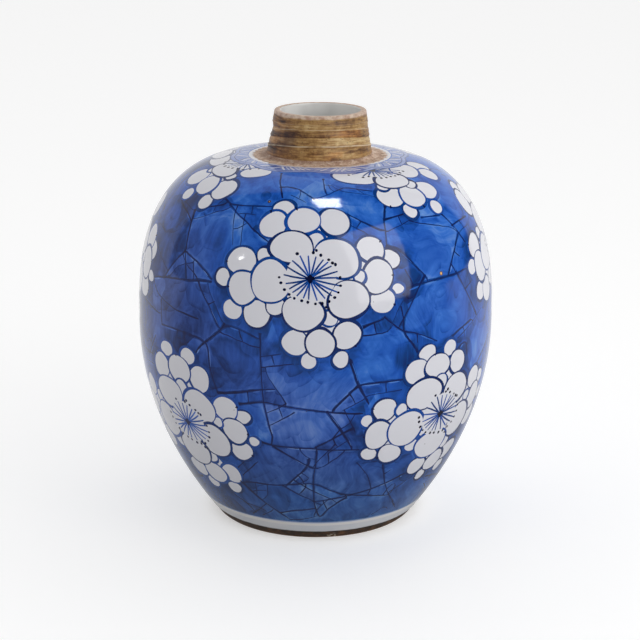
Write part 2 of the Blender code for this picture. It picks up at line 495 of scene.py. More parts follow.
RIGHT_BLOSSOM = Blossom(
    main=(
        (-11, 10.9, 9.5, 6.8), (7.2, 9.2, 8.0, 7.2, -15), (13.6, -6.4, 7.5, 8.0),
        (-1, -13.4, 8.6, 7.0), (-17, -3.6, 8.5, 8.2),
    ),
    side=(
        (-17, 21.6, 6.0, 5.7), (6.4, 21.4, 5.3, 5.3), (-29.8, 5.8, 6.0, 5.3), (-21.8, -15.4, 5.8, 4.9),
        (-4.6, -23.8, 4.8, 4.6), (14.2, -22, 6.0, 4.9), (21.5, 10.2, 5.6, 5.2), (25, -9.5, 5.6, 5.2),
    ),
    middle=((-5.6, 22.2, 7.0, 5.5), (-30.2, -6, 6.6, 7.0), (5.6, -24, 5.6, 5.4), (24.3, 0.3, 6.1, 6.3)),
    small=(
        (-11.8, 29, 5.0, 3.9), (1.2, 29, 4.2, 3.9), (-37.3, 0.4, 3.2, 3.2), (-32, -15.8, 4.2, 3.5),
        (0.6, -30.4, 2.9, 3.1), (12.2, -30, 3.4, 3.4), (29.5, 8, 3.6, 3.6), (33, -1.5, 3.0, 3.0),
    ),
    filler=(
        (-2.8, 14.5, 3.6, 3.6), (-21.5, 5.3, 3.0, 3.0), (-12, -12.2, 3.2, 3.2), (8.5, -15.5, 3.2, 3.2),
        (16.8, 3.2, 2.6, 2.6),
    ),
    fan_ends=FULL_FAN,
    pollen=FULL_POLLEN,
)
SHOULDER_RIGHT_BLOSSOM = Blossom(
    main=(
        (-9.5, 7.5, 8.0, 5.4), (9.0, 7.5, 8.0, 5.4), (-11.5, -1.5, 8.6, 5.6, -35),
        (13.2, -2.2, 7.4, 5.4, 25), (1.4, -8, 7.8, 4.9),
    ),
    side=((-5, -16, 5.8, 5.6), (14, -15.2, 5.9, 5.0), (24.5, 1.5, 5.2, 4.6)),
    middle=((4.8, -18, 6.1, 5.5), (24.5, -5.0, 5.0, 4.4)),
    small=((-0.2, -24.5, 3.3, 3.5), (14, -23.7, 3.6, 3.4)),
    filler=((7.8, -11.5, 3.0, 2.6), (-5.0, -11.0, 2.8, 2.4)),
    heart=(-0.8, 0.8),
    heart_radius=6.0,
    fan_ends=(
        (-11, 0.5), (-8, -2.6), (-5.6, -3), (-3.6, -4), (-1.7, -5), (0.2, -5.3), (2.4, -5.2),
        (4.6, -5), (6.5, -4.4), (8.4, -3.3), (10.6, -2.3), (12.8, 1.2), (11, 4.5), (-9.5, 4.5),
    ),
    pollen=(
        (-12.5, 0.5), (-8.5, -3.3), (-6, -3.5), (-1.9, -5.9), (0.4, -6.1), (2.7, -5.9), (5, -5.8),
        (7, -5.2), (9, -4), (11.5, -3), (14, 1.5), (-3.8, -4.9),
    ),
)
SHOULDER_LEFT_BLOSSOM = Blossom(
    main=(
        (-12.0, 9.5, 7.0, 5.0), (7.0, 8.0, 7.5, 5.0), (-20, 3, 9.5, 4.6, -30),
        (10, -0.8, 6.4, 4.6, 30), (-4.6, -4.4, 8.2, 4.6, -15),
    ),
    side=((-14, -11.4, 6.2, 5.4), (7.5, -14.2, 5.3, 5.8)),
    middle=((-2.7, -14.6, 5.8, 5.4),),
    small=((-9.6, -20.6, 3.4, 3.3), (3.9, -22.4, 3.9, 3.7)),
    filler=((3.5, -7.5, 2.8, 2.4), (-10.5, -6.0, 2.6, 2.2)),
    heart=(-2.0, 4.5),
    heart_radius=6.0,
    fan_ends=(
        (-13, 4.5), (-11.5, 1.6), (-9.4, -0.2), (-7.2, -1.4), (-4.8, -1.6), (-2.4, -1.5),
        (0.2, -1.2), (2.6, -0.6), (5.0, 0.6), (7.2, 2.6), (8.2, 5.0),
    ),
    pollen=(
        (-14.2, 4.6), (-12.6, 1.0), (-10.2, -1.0), (-7.7, -2.2), (-5.0, -2.5), (-2.4, -2.4),
        (0.4, -2.1), (3.0, -1.4), (5.7, 0.0), (8.2, 2.3),
    ),
)

# Lines of the cracked ice between the blossoms. A name says how heavy the brush was.
CENTRE_CRACKS: dict[str, tuple[tuple[Place, ...], ...]] = {
    "heavy": (
        ((-21, 62), (-17.5, 56), (-14, 50.5)),
        ((-13.5, 55.2), (-10, 54.6), (-7, 53.8), (-4, 52.2), (-1, 50.5)),
        ((0, 50.5), (5.8, 52.2), (10.4, 54.1), (15, 54.9), (18.3, 53.7), (25.2, 52.6)),
        ((3.8, 59), (4, 52.8)),
        ((-39.2, 48.3), (-35, 46.6), (-26, 47), (-17.3, 47.4)),
        ((-35, 46.6), (-30, 44.1), (-26.5, 42.8), (-21, 39.7), (-15.4, 37)),
        ((11.5, 45.5), (16.2, 43.2), (22.9, 40.1)),
        ((-30, 11.6), (-27.7, 13.5), (-22.3, 12.6), (-17.3, 10.5)),
        ((-16.7, 12.4), (-16.5, 5), (-16, -5.2), (-15.8, -9.4), (-14.6, -17), (-13.5, -21)),
        ((14.2, 14.3), (21, 16.4)),
        ((-29.2, -8), (-21.2, -6.3), (-16.5, -5.2), (-12, -4.6)),
        ((-24.2, -10.9), (-16.2, -9), (-10, -10), (3.8, -11.7), (12.5, -12.7), (15, -12.9)),
        ((10.4, 4.8), (13, -3.2), (16.7, -9.8)),
        ((13, -3.4), (10.4, -5.9), (5.4, -11.1)),
        ((13, -3.2), (21.4, -3), (27.5, -3)),
        ((3.8, -11.7), (7.9, -17.8), (8.9, -19.2), (12.3, -24.8)),
        ((8.9, -19.2), (0, -24.4)),
        ((-18.1, -23.2), (-13.9, -24.2), (-10, -24.4), (0.8, -24.8), (15, -25.7)),
        ((-13.9, -24.4), (-7.7, -28.2), (-2.3, -31.5), (-0.4, -32.3)),
        ((0.8, -24.8), (0.4, -29.4), (-0.4, -36.3), (-0.2, -46), (0.8, -49.4), (1.5, -51.7), (2.7, -52.8)),
        ((-30, -41.1), (-25, -39.8), (-12, -39.6), (-10, -39), (0, -38.2), (4.2, -40.2), (10.8, -43.2),
         (15, -43.6), (22.2, -42.1), (32.5, -39.4), (36, -38.2)),
        ((-12, -39.6), (-0.4, -45.7)),
        ((-28.5, -40.9), (-24.2, -45.5), (-18.1, -50.2), (-15.4, -51.7), (-11.5, -54.4)),
        ((24.8, -32.8), (26.2, -36.7), (27.9, -40.9), (32.5, -46.3), (37.5, -50.5), (40.6, -53.2)),
        ((-0.2, -45.9), (6.9, -45), (15, -43.6), (22.2, -44.8), (32.5, -46.3)),
        ((-2.3, -31.5), (-10, -39)),
        ((11.5, -45.2), (5.4, -49.4), (3.8, -52.1)),
        ((-15.4, -51.7), (-10, -50.3), (-0.4, -49)),
    ),
    "light": (
        ((-10.8, 51.8), (-3.9, 49.3)),
        ((11.7, 53), (20.6, 51.8), (24.8, 50.8)),
        ((4, 56.2), (7.7, 55.7)),
        ((-28.8, 44.5), (-22.3, 44.5)),
        ((-31.3, 43.9), (-28.4, 35.5)),
        ((-26.7, 42.8), (-25.4, 35.5)),
        ((11.7, 42.4), (18, 39.3)),
        ((-30, 11.2), (-18.5, 8)),
        ((-16.7, 5.1), (-10, 6.6)),
        ((-15.4, 2.1), (-6.2, 3.7)),
        ((14.2, 11.8), (22, 12.2)),
        ((-14.6, -0.2), (-8.7, -9)),
        ((14.6, -8.2), (8.5, -11.3)),
        ((16.5, -6.7), (27.5, -6.3)),
        ((9.2, -11.7), (12.9, -19.2)),
        ((9.2, -22.8), (4.6, -26.3)),
        ((-10, -10.2), (-14.8, -12.8)),
        ((-6.2, -11.9), (-13.9, -16.9)),
        ((-5, -25.5), (-1.9, -28.6)),
        ((5.4, -24.8), (0.8, -29.4)),
        ((10, -26), (4.6, -30.5), (1.3, -32.3)),
        ((-5, -34), (-1.5, -36), (-5.4, -38.6)),
        ((-5.4, -38.6), (0, -41.7), (6.9, -45)),
        ((-23.1, -40.2), (-23.5, -44.4)),
        ((-18.3, -40.2), (-19, -44.8)),
        ((-30, -54.0), (-21.2, -48.6)),
        ((-25, -54), (-18.1, -50.5)),
        ((-10, -54.4), (-0.4, -53)),
        ((3.8, -46.7), (0.8, -49.4)),
        ((30, -42.8), (33.3, -40.9), (34, -42.8)),
        ((35.6, -43.2), (39, -41.3)),
        ((27.5, -54), (33, -51.3), (36, -52.8)),
        ((-28.8, -34.8), (-26, -32.5), (-22.5, -29.4)),
        ((-27.7, -37.7), (-20, -31)),
        ((14.5, -30.5), (19.5, -36.0), (22.6, -42)),
        ((-36.5, -46.5), (-30.5, -49.8), (-27.8, -53.5)),
    ),
    "rung": (
        ((-6.5, 53.2), (-6.9, 50.8)),
        ((19, 53.5), (21, 51.7)),
        ((5.9, 56.2), (6.3, 54.6)),
        ((-25, 47.2), (-24.4, 44.7)),
        ((-29.6, 39.9), (-26.5, 40.5)),
        ((16.2, 43.2), (14.2, 41.2)),
        ((-23.5, 12), (-22, 9.3)),
        ((-13, 5.9), (-12.2, 3.0)),
        ((17.8, 15.2), (18.4, 12.1)),
        ((-20.8, -6.7), (-20.6, -9.8)),
        ((10.8, -6.3), (12.1, -8.8)),
        ((21.8, -3.2), (22, -5.9)),
        ((7.9, -17.7), (11, -16.1)),
        ((5.8, -20.9), (6.7, -23.2)),
        ((-11.2, -10.9), (-10, -14)),
        ((4.4, -26.7), (5, -29.8)),
        ((-3.1, -39.8), (-5, -42)),
        ((-23.3, -42.8), (-19, -42.5)),
        ((26.2, -36.7), (28.9, -35.3)),
        ((3.8, -46.7), (5.4, -49.4)),
        ((-24.8, -50.4), (-22, -52)),
        ((12.2, -43.4), (13, -44.6)),
        ((-6.1, -34.8), (-4.1, -37.4)),
    ),
}
FLANK_CRACKS: dict[str, tuple[tuple[Place, ...], ...]] = {
    "heavy": (
        ((27.9, 47.4), (26.4, 45.1), (25, 43), (24.7, 40), (23.9, 35.8)),
        ((24.8, 43), (31, 43.7), (34.8, 44.1)),
        ((41, 42.2), (50.6, 41.6), (52, 41.8)),
        ((52.2, 42), (55.2, 38.2), (57.3, 35.5), (59.5, 32.4)),
        ((55.2, 38), (60.8, 38.5), (68, 38.7)),
        ((55.6, 34.7), (49.8, 29.7), (46, 25.1)),
        ((29, 23.7), (34, 24.7), (43, 25), (50.6, 25.1), (56.4, 25.5)),
        ((27.5, 35), (33, 29.7), (37.2, 25.8)),
        ((34, 24.5), (30.6, 20), (27.5, 15.5)),
        ((21, 17), (24, 14.3), (27.2, 12), (32.2, 10.7), (40.2, 7)),
        ((27.2, 12), (30.6, 7.8), (33, 4.3)),
        ((50.6, 25.1), (53.7, 20.5), (55.6, 17.8), (60.6, 11.2)),
        ((46.4, 7), (50.6, 8.7), (56.4, 10.1)),
        ((50, 2.5), (53, 4.5), (54.5, 3.7), (55.2, -0.5)),
        ((51.4, -43.2), (59, -44.6), (68, -46.7)),
        ((-63, 44.3), (-60, 43.2), (-55, 42), (-49.5, 39.7)),
        ((-50.7, 43.2), (-49.3, 39.3), (-47.6, 33.2), (-46, 28.5), (-44.5, 24.3)),
        ((-44.5, 44.7), (-37.6, 46.2)),
        ((-47.6, 31.6), (-39.5, 28.9), (-33.8, 25.5)),
        ((-47.2, 31.6), (-51, 28.5), (-55.3, 23.5)),
        ((-63.4, 21.2), (-56.5, 22.6), (-44.2, 23.9), (-33.8, 25)),
        ((-62.6, 20.5), (-60, 17.8), (-55.3, 16.2), (-48, 14.5), (-38, 13.7)),
        ((-38.8, 23.5), (-34.5, 18.5), (-30.3, 12.4)),
        ((-28.4, 13.7), (-30.3, 11.2), (-34.5, 7.8), (-38, 5.1), (-39.2, 3.2)),
        ((-55.7, 8.5), (-47.2, 8.7), (-37.2, 7.8)),
        ((-35, 6.6), (-34.3, 6), (-33.8, -0.5), (-31.3, -8.2)),
        ((-56.5, 16.2), (-55.9, 9)),
        ((-69.2, 13.2), (-58.8, 11.6)),
        ((-74, -44), (-62, -46.5), (-52, -43.5)),
        ((62, -6), (68, -2), (74, 1.5)),
        ((-74, -1), (-66, -4), (-60, 4)),
    ),
    "light": (
        ((25.2, 39.7), (31.4, 41), (35.2, 42)),
        ((37.9, 41), (47.9, 38.9), (54.8, 37.4)),
        ((57.9, 35.5), (66, 36.6)),
        ((29, 29.3), (31.4, 25)),
        ((28.7, 22), (26.2, 19.3), (23.7, 14.7)),
        ((56.4, 25), (59.5, 21.3)),
        ((49.5, 5.9), (57.9, 9.3), (64.8, 12)),
        ((-60, 44.3), (-55.3, 43.5), (-51.5, 42.6)),
        ((-48, 40.7), (-45, 41.4), (-40.7, 43.5), (-35.3, 44.9)),
        ((-45.7, 28.2), (-40, 25.5)),
        ((-45.7, 28.2), (-49.5, 27), (-52.6, 23.5)),
        ((-64.3, 30), (-55, 25)),
        ((-35.3, 23.5), (-32.6, 19.7), (-29.5, 14.7)),
        ((-47.6, 6.2), (-44, 6.2)),
        ((-72, -47.5), (-60, -50), (-54, -47)),
        ((60, -9.5), (68, -6), (75, -2.5)),
    ),
    "rung": (
        ((31.4, 43.5), (31.6, 41.6)),
        ((60.8, 38.4), (62.2, 36.2)),
        ((51.8, 30.8), (54, 29.3)),
        ((48.3, 28.2), (50.2, 25.8)),
        ((26.6, 19.3), (27.5, 15.8)),
        ((32.2, 10.5), (32.5, 7.8)),
        ((54, 19.9), (58.7, 21.6)),
        ((52.3, 9.0), (53.4, 7.6)),
        ((57.2, 10.2), (58.4, 9.4)),
        ((-55.7, 43.2), (-55, 41.6)),
        ((-41.5, 45.3), (-41.2, 43.3)),
        ((-42.6, 29.3), (-41.5, 26.2)),
        ((-34.5, 18.5), (-32.2, 19.7)),
        ((-47.2, 8.6), (-47.6, 6.2)),
        ((-43.6, 8.4), (-44, 6.2)),
        ((-66, -46.2), (-65.2, -48.8)),
        ((68, -2), (68.6, -5.6)),
    ),
}
# Soft pale places where the wash ran thin: azimuth, elevation, radius in millimetres, strength.
MISTS: tuple[tuple[float, float, float, float], ...] = (
    (24.4, 37.5, 3.4, 1.0), (26.6, 33.0, 2.6, 0.8), (38.3, 20.7, 4.2, 0.9), (41.0, 15.0, 3.4, 0.7),
    (-16.8, -20.7, 2.6, 0.9), (1.4, -30.6, 2.4, 1.0), (0.8, -34.5, 2.0, 0.7), (-11.2, -30.4, 2.4, 0.7),
    (-23.0, -22.6, 2.2, 0.6), (-13.0, -10.4, 2.6, 0.8), (6.0, -14.6, 2.8, 0.7), (-31.0, 46.0, 3.6, 0.5),
    (-24.0, 38.0, 3.2, 0.5), (8.0, 51.0, 3.4, 0.4), (14.0, 12.5, 2.6, 0.6), (52.0, 20.0, 3.0, 0.6),
)
# Soft patches where the wash lies deeper or thinner: azimuth, elevation, radius in mm, shift of cobalt
SOFT_DEPTHS: tuple[tuple[float, float, float, float], ...] = (
    (41.0, 33.0, 9.0, 0.10), (46.5, 30.0, 5.0, 0.05), (60.0, 40.0, 6.0, 0.06),
    (56.5, 27.0, 5.0, 0.06), (56.5, 16.0, 5.0, 0.07),
    (35.5, 17.0, 4.5, 0.06), (41.5, 20.5, 4.0, -0.10), (31.0, 45.5, 4.0, -0.06), (22.5, 48.0, 4.0, -0.04),
    (-11.0, 51.5, 4.5, -0.12), (-49.0, 34.5, 8.0, 0.06), (-34.5, 33.5, 5.0, 0.08), (-41.0, 38.5, 5.0, 0.04),
    (-38.0, 22.0, 6.0, -0.04), (-39.5, 10.0, 6.0, -0.06), (-31.5, 7.0, 4.0, -0.04), (-20.0, 10.0, 4.0, -0.03),
    (-24.5, 3.5, 4.0, -0.03), (-10.5, 9.0, 3.5, 0.10), (16.5, 9.0, 4.0, -0.14), (4.5, 2.0, 4.0, -0.08),
    (13.5, 1.5, 4.5, -0.10), (21.5, 2.5, 4.0, -0.09), (26.0, 9.5, 3.5, -0.06), (-7.5, -8.0, 4.0, 0.10),
    (10.5, -6.5, 3.5, -0.05), (8.0, -14.5, 4.0, -0.08), (-15.0, -26.0, 4.0, -0.04), (13.5, -25.5, 3.5, -0.05),
    (2.0, -37.0, 4.0, -0.05), (-2.0, -45.0, 3.5, 0.08), (25.5, -39.0, 4.0, -0.03), (-20.0, -9.0, 4.0, -0.03),
)
# Plates of ice whose depth of blue is set out: azimuth, elevation, steps deeper
PLATE_DEPTHS: tuple[tuple[float, float, float], ...] = (
    (-24.5, 52.5, -1.0), (-11.0, 51.5, -2.0), (6.5, 53.5, -1.0), (-35.5, 43.5, -2.0), (-25.0, 44.5, 1.0),
    (-41.5, 38.5, -1.0), (-35.0, 33.5, 1.0), (-47.5, 23.5, 1.0), (22.5, 48.0, -2.0), (31.0, 45.0, -1.5),
    (30.0, 38.5, -2.0), (31.0, 41.5, -2.5), (13.0, 53.5, -1.5), (41.5, 35.5, 1.0), (60.0, 40.0, -0.5),
    (56.5, 28.0, 1.0), (41.5, 20.5, -0.5), (56.5, 16.0, 1.0), (45.5, 12.5, 0.5), (35.5, 17.0, 0.5),
    (28.5, 19.5, 1.0), (21.0, 13.0, 2.0), (53.5, 3.0, -1.5), (26.0, 9.5, -1.0), (-20.0, 10.0, 0.0),
    (-10.5, 9.0, 2.0), (-24.5, 3.5, 0.0), (4.5, 2.0, -1.5), (13.5, 1.5, -1.5), (1.5, -4.5, -0.5),
    (-7.5, -8.0, 0.5), (-20.0, -9.0, 1.5), (-12.5, -15.0, 0.0), (-1.5, -16.0, -1.0), (8.0, -14.5, -1.5),
    (-15.0, -26.0, 0.0), (-5.0, -23.5, 0.5), (5.0, -25.0, 1.0), (13.5, -25.5, 0.0), (-9.0, -35.0, 0.0),
    (2.0, -37.0, -1.0), (13.0, -37.5, -0.5), (-2.0, -45.0, 1.5), (12.5, -45.5, -0.5), (25.0, -45.0, 0.0),
)


class Painter:
    """Sets the whole decoration out on a canvas, as it goes round the jar."""

    # The painted ground's lower edge: elevation in degrees, ripple in radians, paint, more cobalt
    foot_edges = (
        (-55.7, 0.003, Paint.FEATHER, 0.0), (-55.4, 0.0035, Paint.FEATHER, 0.18),
        (-55.1, 0.004, Paint.GROUND, 0.0),
    )
    # Cracks: full width in millimetres and paint by the brush's weight, and the width of their bleed
    brush = {"heavy": (0.52, Paint.CRACK), "light": (0.45, Paint.CRACK_FINE), "rung": (0.46, Paint.CRACK)}
    bleed_width = 1.15
    # A line is drawn on to the next within this many degrees, and is finer high on the shoulder
    join_reach = 4.0
    finer_from, finer_to, finest = 30.0, 48.0, 0.62
    # Pale lines beside the cracks: how often, how many degrees off, and widths in millimetres
    breath_chance = 0.42
    breath_shift = 0.42
    breath_widths = (0.15, 0.5, 0.6, 0.5, 0.15)
    # Azimuth and elevation of the blossoms: those at the sides, and those of the front and the back
    side_heads = ((88.5, 27.0), (-92.5, 23.7))
    front_heads = (
        (BELLY_BLOSSOM, -1.5, 28.0), (LEFT_BLOSSOM, -47.0, -22.0), (RIGHT_BLOSSOM, 45.0, -18.0),
        (SHOULDER_LEFT_BLOSSOM, -52.0, 62.0), (SHOULDER_RIGHT_BLOSSOM, 38.0, 62.0),
    )
    # Petals, in millimetres: how far dark shade, outline and white reach past the edge, how unevenly
    shade_reach, shade_uneven = 0.62, 0.24
    contour_reach, contour_uneven = 0.53, 0.18
    white_reach = -0.40
    # How much freely drawn petals vary in place and size, in millimetres
    petal_jitter = (0.55, 0.55, 0.3, 0.3)
    # A petal's edge: its waves and their height as a share, and its corners by the least half width
    petal_waves = ((2, 0.030), (3, 0.022), (5, 0.009))
    petal_corners = ((7.0, 40), (4.9, 30), (0.0, 22))
    # Ticks, stamens, pollen and the ink of the heart, in millimetres
    tick_widths, tick_reach = (0.3, 0.75, 0.9, 0.4), (0.5, 0.9)
    stamen_widths, stamen_bend = (0.5, 0.66, 0.66, 0.5), 0.35
    pollen_radius = (0.5, 0.68)
    heart_half_width, heart_half_height = 2.1, 1.6
    # A breath of cobalt round the heart: share of its radius, and how much more cobalt
    heart_glows = ((0.48, 0.03), (0.30, 0.08))
    # The band round the neck, in millimetres and radians: the shift, hatching, scallops and rings
    neck_shift = 1.45
    hatch_strokes = 104
    hatch_inset = 2.1
    hatch_slant = 0.11
    hatch_skipped = 0.08
    hatch_width = (0.55, 1.0)
    hatch_press = (0.7, 1.0, 1.0, 0.8, 0.5)
    scallop_count = 8
    scallop_radius, scallop_height = 33.4, 2.3
    band_edges = (
        (0.55, Paint.FINE_LINE), (0.0, Paint.BAND), (-1.25, Paint.FINE_LINE), (-1.7, Paint.BAND),
    )
    hatch_end, glaze_end, clay_end = 28.6, 28.1, 26.6
    # Iron spots: azimuth, elevation, radius in millimetres, share that is darker
    rust_spots = (
        (-19.0, 49.0, 0.66, 0.30), (43.2, 26.3, 0.82, 0.66), (-52.0, -21.0, 0.3, 0.5),
        (152.0, 12.0, 0.5, 0.6), (208.0, 38.0, 0.4, 0.5),
    )

    def __init__(self, canvas: Canvas) -> None:
        """Take the canvas to paint on.

        Args:
            canvas: the sheet, whose hand draws the lines too.
        """
        self.canvas = canvas
        self.outline = canvas.outline
        self.hand = canvas.hand

    def paint(self) -> None:
        """Lay down ground, cracks, blossoms, the band round the neck and the bare ring."""
        canvas = self.canvas
        canvas.fill(canvas.circle(self.outline.bottom), Paint.GLAZE)
        for elevation, ripple, paint, shade in self.foot_edges:
            canvas.fill(canvas.circle(math.radians(elevation), ripple), paint, shade)
        self.cracks()
        self.blossoms()
        self.neck_band()
        self.rust()
        canvas.fill(canvas.circle(self.outline.top), Paint.OPENING)

    def cracks(self) -> None:
        """All the lines of the cracked ice, on the front, the flanks and the back."""
        sets = {weight: CENTRE_CRACKS[weight] + FLANK_CRACKS[weight] for weight in self.brush}
        everything = [places for group in sets.values() for places in group]
        joined = {
            weight: [self._joined(places, everything) for places in group]
            for weight, group in sets.items()
        }
        for back in (False, True):
            for places in joined["heavy"]:
                width = self._drawn_width(places, self.bleed_width)
                self.canvas.line([self._mirrored(place, back) for place in places], width, Paint.BLEED)
        self._breaths()
        for weight in ("light", "rung", "heavy"):
            full_width, paint = self.brush[weight]
            for back in (False, True):
                for places in joined[weight]:
                    width = self._drawn_width(places, full_width)
                    self.canvas.line([self._mirrored(place, back) for place in places], width, paint)
            for offset in (90.0, -90.0):
                for places in CENTRE_CRACKS[weight]:
                    if self._fits_beside(places):
                        moved = [(azimuth + offset, elevation) for azimuth, elevation in places]
                        self.canvas.line(moved, self._drawn_width(places, full_width), paint)
        for back in (False, True):
            for places in joined["heavy"]:
                azimuth, elevation = self._mirrored(places[0], back)
                if self.hand.random() < 0.5:
                    blot = self._round(azimuth, elevation, self.hand.uniform(0.4, 0.6))
                    self.canvas.fill(blot, Paint.CRACK)

    def _drawn_width(self, places: list[Place], full_width: float) -> float:
        """Width of a crack's line in millimetres, which grows finer towards the neck."""
        elevation = sum(place[1] for place in places) / len(places)
        return full_width * float(np.interp(elevation, (self.finer_from, self.finer_to), (1.0, self.finest)))

    def _joined(self, places: tuple[Place, ...], everything: list[tuple[Place, ...]]) -> list[Place]:
        """A crack, drawn on at both ends to the next crack ahead of it if one is close.

        Args:
            places: the crack's corners.
            everything: the corners of all the cracks.

        Returns:
            Its corners, with up to one more at each end.
        """
        ends = []
        for end, before in ((places[0], places[1]), (places[-1], places[-2])):
            narrow = math.cos(math.radians(end[1]))
            ahead = ((end[0] - before[0]) * narrow, end[1] - before[1])
            best, found = self.join_reach, []
            for other in everything:
                if other is places:
                    continue
                for start, stop in zip(other, other[1:]):
                    run = ((stop[0] - start[0]) * narrow, stop[1] - start[1])
                    gap = ((end[0] - start[0]) * narrow, end[1] - start[1])
                    share = (gap[0] * run[0] + gap[1] * run[1]) / (run[0] ** 2 + run[1] ** 2)
                    share = min(max(share, 0.0), 1.0)
                    spot = (start[0] + (stop[0] - start[0]) * share, start[1] + (stop[1] - start[1]) * share)
                    step = ((spot[0] - end[0]) * narrow, spot[1] - end[1])
                    length = math.hypot(*step)
                    forward = step[0] * ahead[0] + step[1] * ahead[1]
                    if 0.4 < length < best and forward > 0.7 * length * math.hypot(*ahead):
                        best, found = length, [spot]
            ends.append(found)
        return ends[0] + list(places) + ends[1]

    def _breaths(self) -> None:
        """Thin pale lines beside some of the cracks, where the wash stopped short of the line."""
        for back in (False, True):
            for places in CENTRE_CRACKS["heavy"] + FLANK_CRACKS["heavy"]:
                for start, end in zip(places, places[1:]):
                    if self.hand.random() > self.breath_chance:
                        continue
                    first, last = self.hand.uniform(0.0, 0.4), self.hand.uniform(0.6, 1.0)
                    spots = [
                        (start[0] + (end[0] - start[0]) * share + self.breath_shift,
                         start[1] + (end[1] - start[1]) * share - self.breath_shift)
                        for share in np.linspace(first, last, 5)
                    ]
                    path = np.array([aim(*self._mirrored(spot, back)) for spot in spots])
                    shade = self.hand.uniform(-0.06, 0.08)
                    self.canvas.stroke(path, list(self.breath_widths), Paint.BREATH, shade)

    def blossoms(self) -> None:
        """The twelve blossoms: belly, lower row and shoulder."""
        for azimuth, elevation in self.side_heads:
            self._blossom(BELLY_BLOSSOM, azimuth, elevation, back=False, free=True)
        for blossom, azimuth, elevation in self.front_heads:
            for back in (False, True):
                self._blossom(blossom, azimuth, elevation, back=back, free=back)

    def neck_band(self) -> None:
        """The pale band of slanted hatching round the neck, and the ragged edge of the glaze."""
        canvas = self.canvas
        for grow, paint in self.band_edges:
            canvas.fill(self._scallops(grow), paint)
        for index in range(self.hatch_strokes):
            turn = math.tau * index / self.hatch_strokes + self.hand.uniform(-0.008, 0.008)
            lobe = math.sin(self.scallop_count * turn + 0.9)
            if self.hand.random() < self.hatch_skipped:
                continue
            in_front = abs(math.sin(turn / 2)) < 0.26 or abs(math.sin(turn / 2)) > 0.95
            edge, inset = self._scallop_reach(turn), self.hatch_inset
            slant = self.hatch_slant if lobe > 0 else -self.hatch_slant
            path = []
            for step in range(5):
                share = step / 4
                radius = edge - inset + (self.hatch_end - edge + inset) * share
                lean = turn + slant * share + self.hand.uniform(-0.003, 0.003)
                path.append(self._round_the_neck(lean, radius))
            width = self.hand.uniform(*self.hatch_width)
            widths = [width * press for press in self.hatch_press]
            if in_front or index % 3 == 1:
                canvas.stroke(np.array(path), widths, Paint.HEART, self.hand.uniform(0.0, 0.10))
            else:
                canvas.stroke(np.array(path), widths, Paint.HATCH, self.hand.uniform(-0.10, 0.18))
        canvas.fill(self._neck_ring(self.hatch_end, 0.3, 0), Paint.HATCH)
        canvas.fill(self._neck_ring(self.glaze_end, 0.25, 0), Paint.GLAZE)
        canvas.fill(self._neck_ring(self.clay_end, 0.42, 44), Paint.CLAY)

    def _scallop_reach(self, turn: float) -> float:
        """Radius of the band's scalloped outer edge, in millimetres, at a turn round the neck."""
        lobe = abs(math.sin(self.scallop_count / 2 * turn + 0.45))
        return self.scallop_radius + self.scallop_height * lobe

    def _scallops(self, grow: float) -> np.ndarray:
        """The scalloped outer edge of the band, grown by some millimetres."""
        turns = [math.tau * index / AROUND for index in range(AROUND)]
        return np.array([self._round_the_neck(turn, self._scallop_reach(turn) + grow) for turn in turns])

    def _neck_ring(self, radius: float, ripple: float, waves: int) -> np.ndarray:
        """A ring round the neck that wanders slowly or is chattered.

        Args:
            radius: in millimetres.
            ripple: how far it wanders, in millimetres.
            waves: how many small waves it has, or 0 for a slow wander.

        Returns:
            The closed loop's unit vectors.
        """
        phases = [self.hand.uniform(0, math.tau) for _ in range(4)]
        ring = []
        for index in range(AROUND):
            turn = math.tau * index / AROUND
            if waves:
                wander = math.sin(waves * turn + 1.3 * math.sin(3 * turn)) + self.hand.uniform(-0.5, 0.5)
            else:
                wander = sum(math.sin(count * turn + phases[count - 2]) / count for count in (2, 3, 5))
            ring.append(self._round_the_neck(turn, radius + ripple * wander))
        return np.array(ring)

    def _round_the_neck(self, turn: float, radius: float) -> np.ndarray:
        """Direction of a place near the neck, which stands off the middle.

        Args:
            turn: radians round the neck, from the front.
            radius: in millimetres from the neck's axis.

        Returns:
            The unit vector.
        """
        across = radius * math.sin(turn) + self.neck_shift
        deep = -radius * math.cos(turn)
        flat = math.hypot(across, deep)
        lift = self.outline.at_radius(flat)
        return np.array([math.cos(lift) * across / flat, math.cos(lift) * deep / flat, math.sin(lift)])

    def rust(self) -> None:
        """The iron spots that came up through the glaze."""
        for azimuth, elevation, radius, heart in self.rust_spots:
            self.canvas.fill(self._round(azimuth, elevation, radius), Paint.RUST)
            self.canvas.fill(self._round(azimuth, elevation, radius * heart), Paint.RUST_HEART)

    @staticmethod
    def _mirrored(place: Place, back: bool) -> Place:
        """The same place, or the one behind it on the back of the jar."""
        return (180.0 - place[0], place[1]) if back else place

    @staticmethod
    def _fits_beside(places: tuple[Place, ...]) -> bool:
        """Whether a line of the front also has room between the blossoms of the sides."""
        below_belly = max(elevation for _, elevation in places) < 2.0
        return max(abs(azimuth) for azimuth, _ in places) <= (37.0 if below_belly else 20.0)

    def _round(self, azimuth: float, elevation: float, radius: float) -> np.ndarray:
        """Directions round a small spot.

        Args:
            azimuth: of the spot, in degrees.
            elevation: of the spot, in degrees.
            radius: in millimetres.

        Returns:
            The closed loop's unit vectors.
        """
        basis = self._basis(azimuth, elevation)
        return np.array([
            self._on_plane(basis, radius * math.cos(turn), radius * math.sin(turn), False)
            for turn in np.linspace(0, math.tau, 14, endpoint=False)
        ])

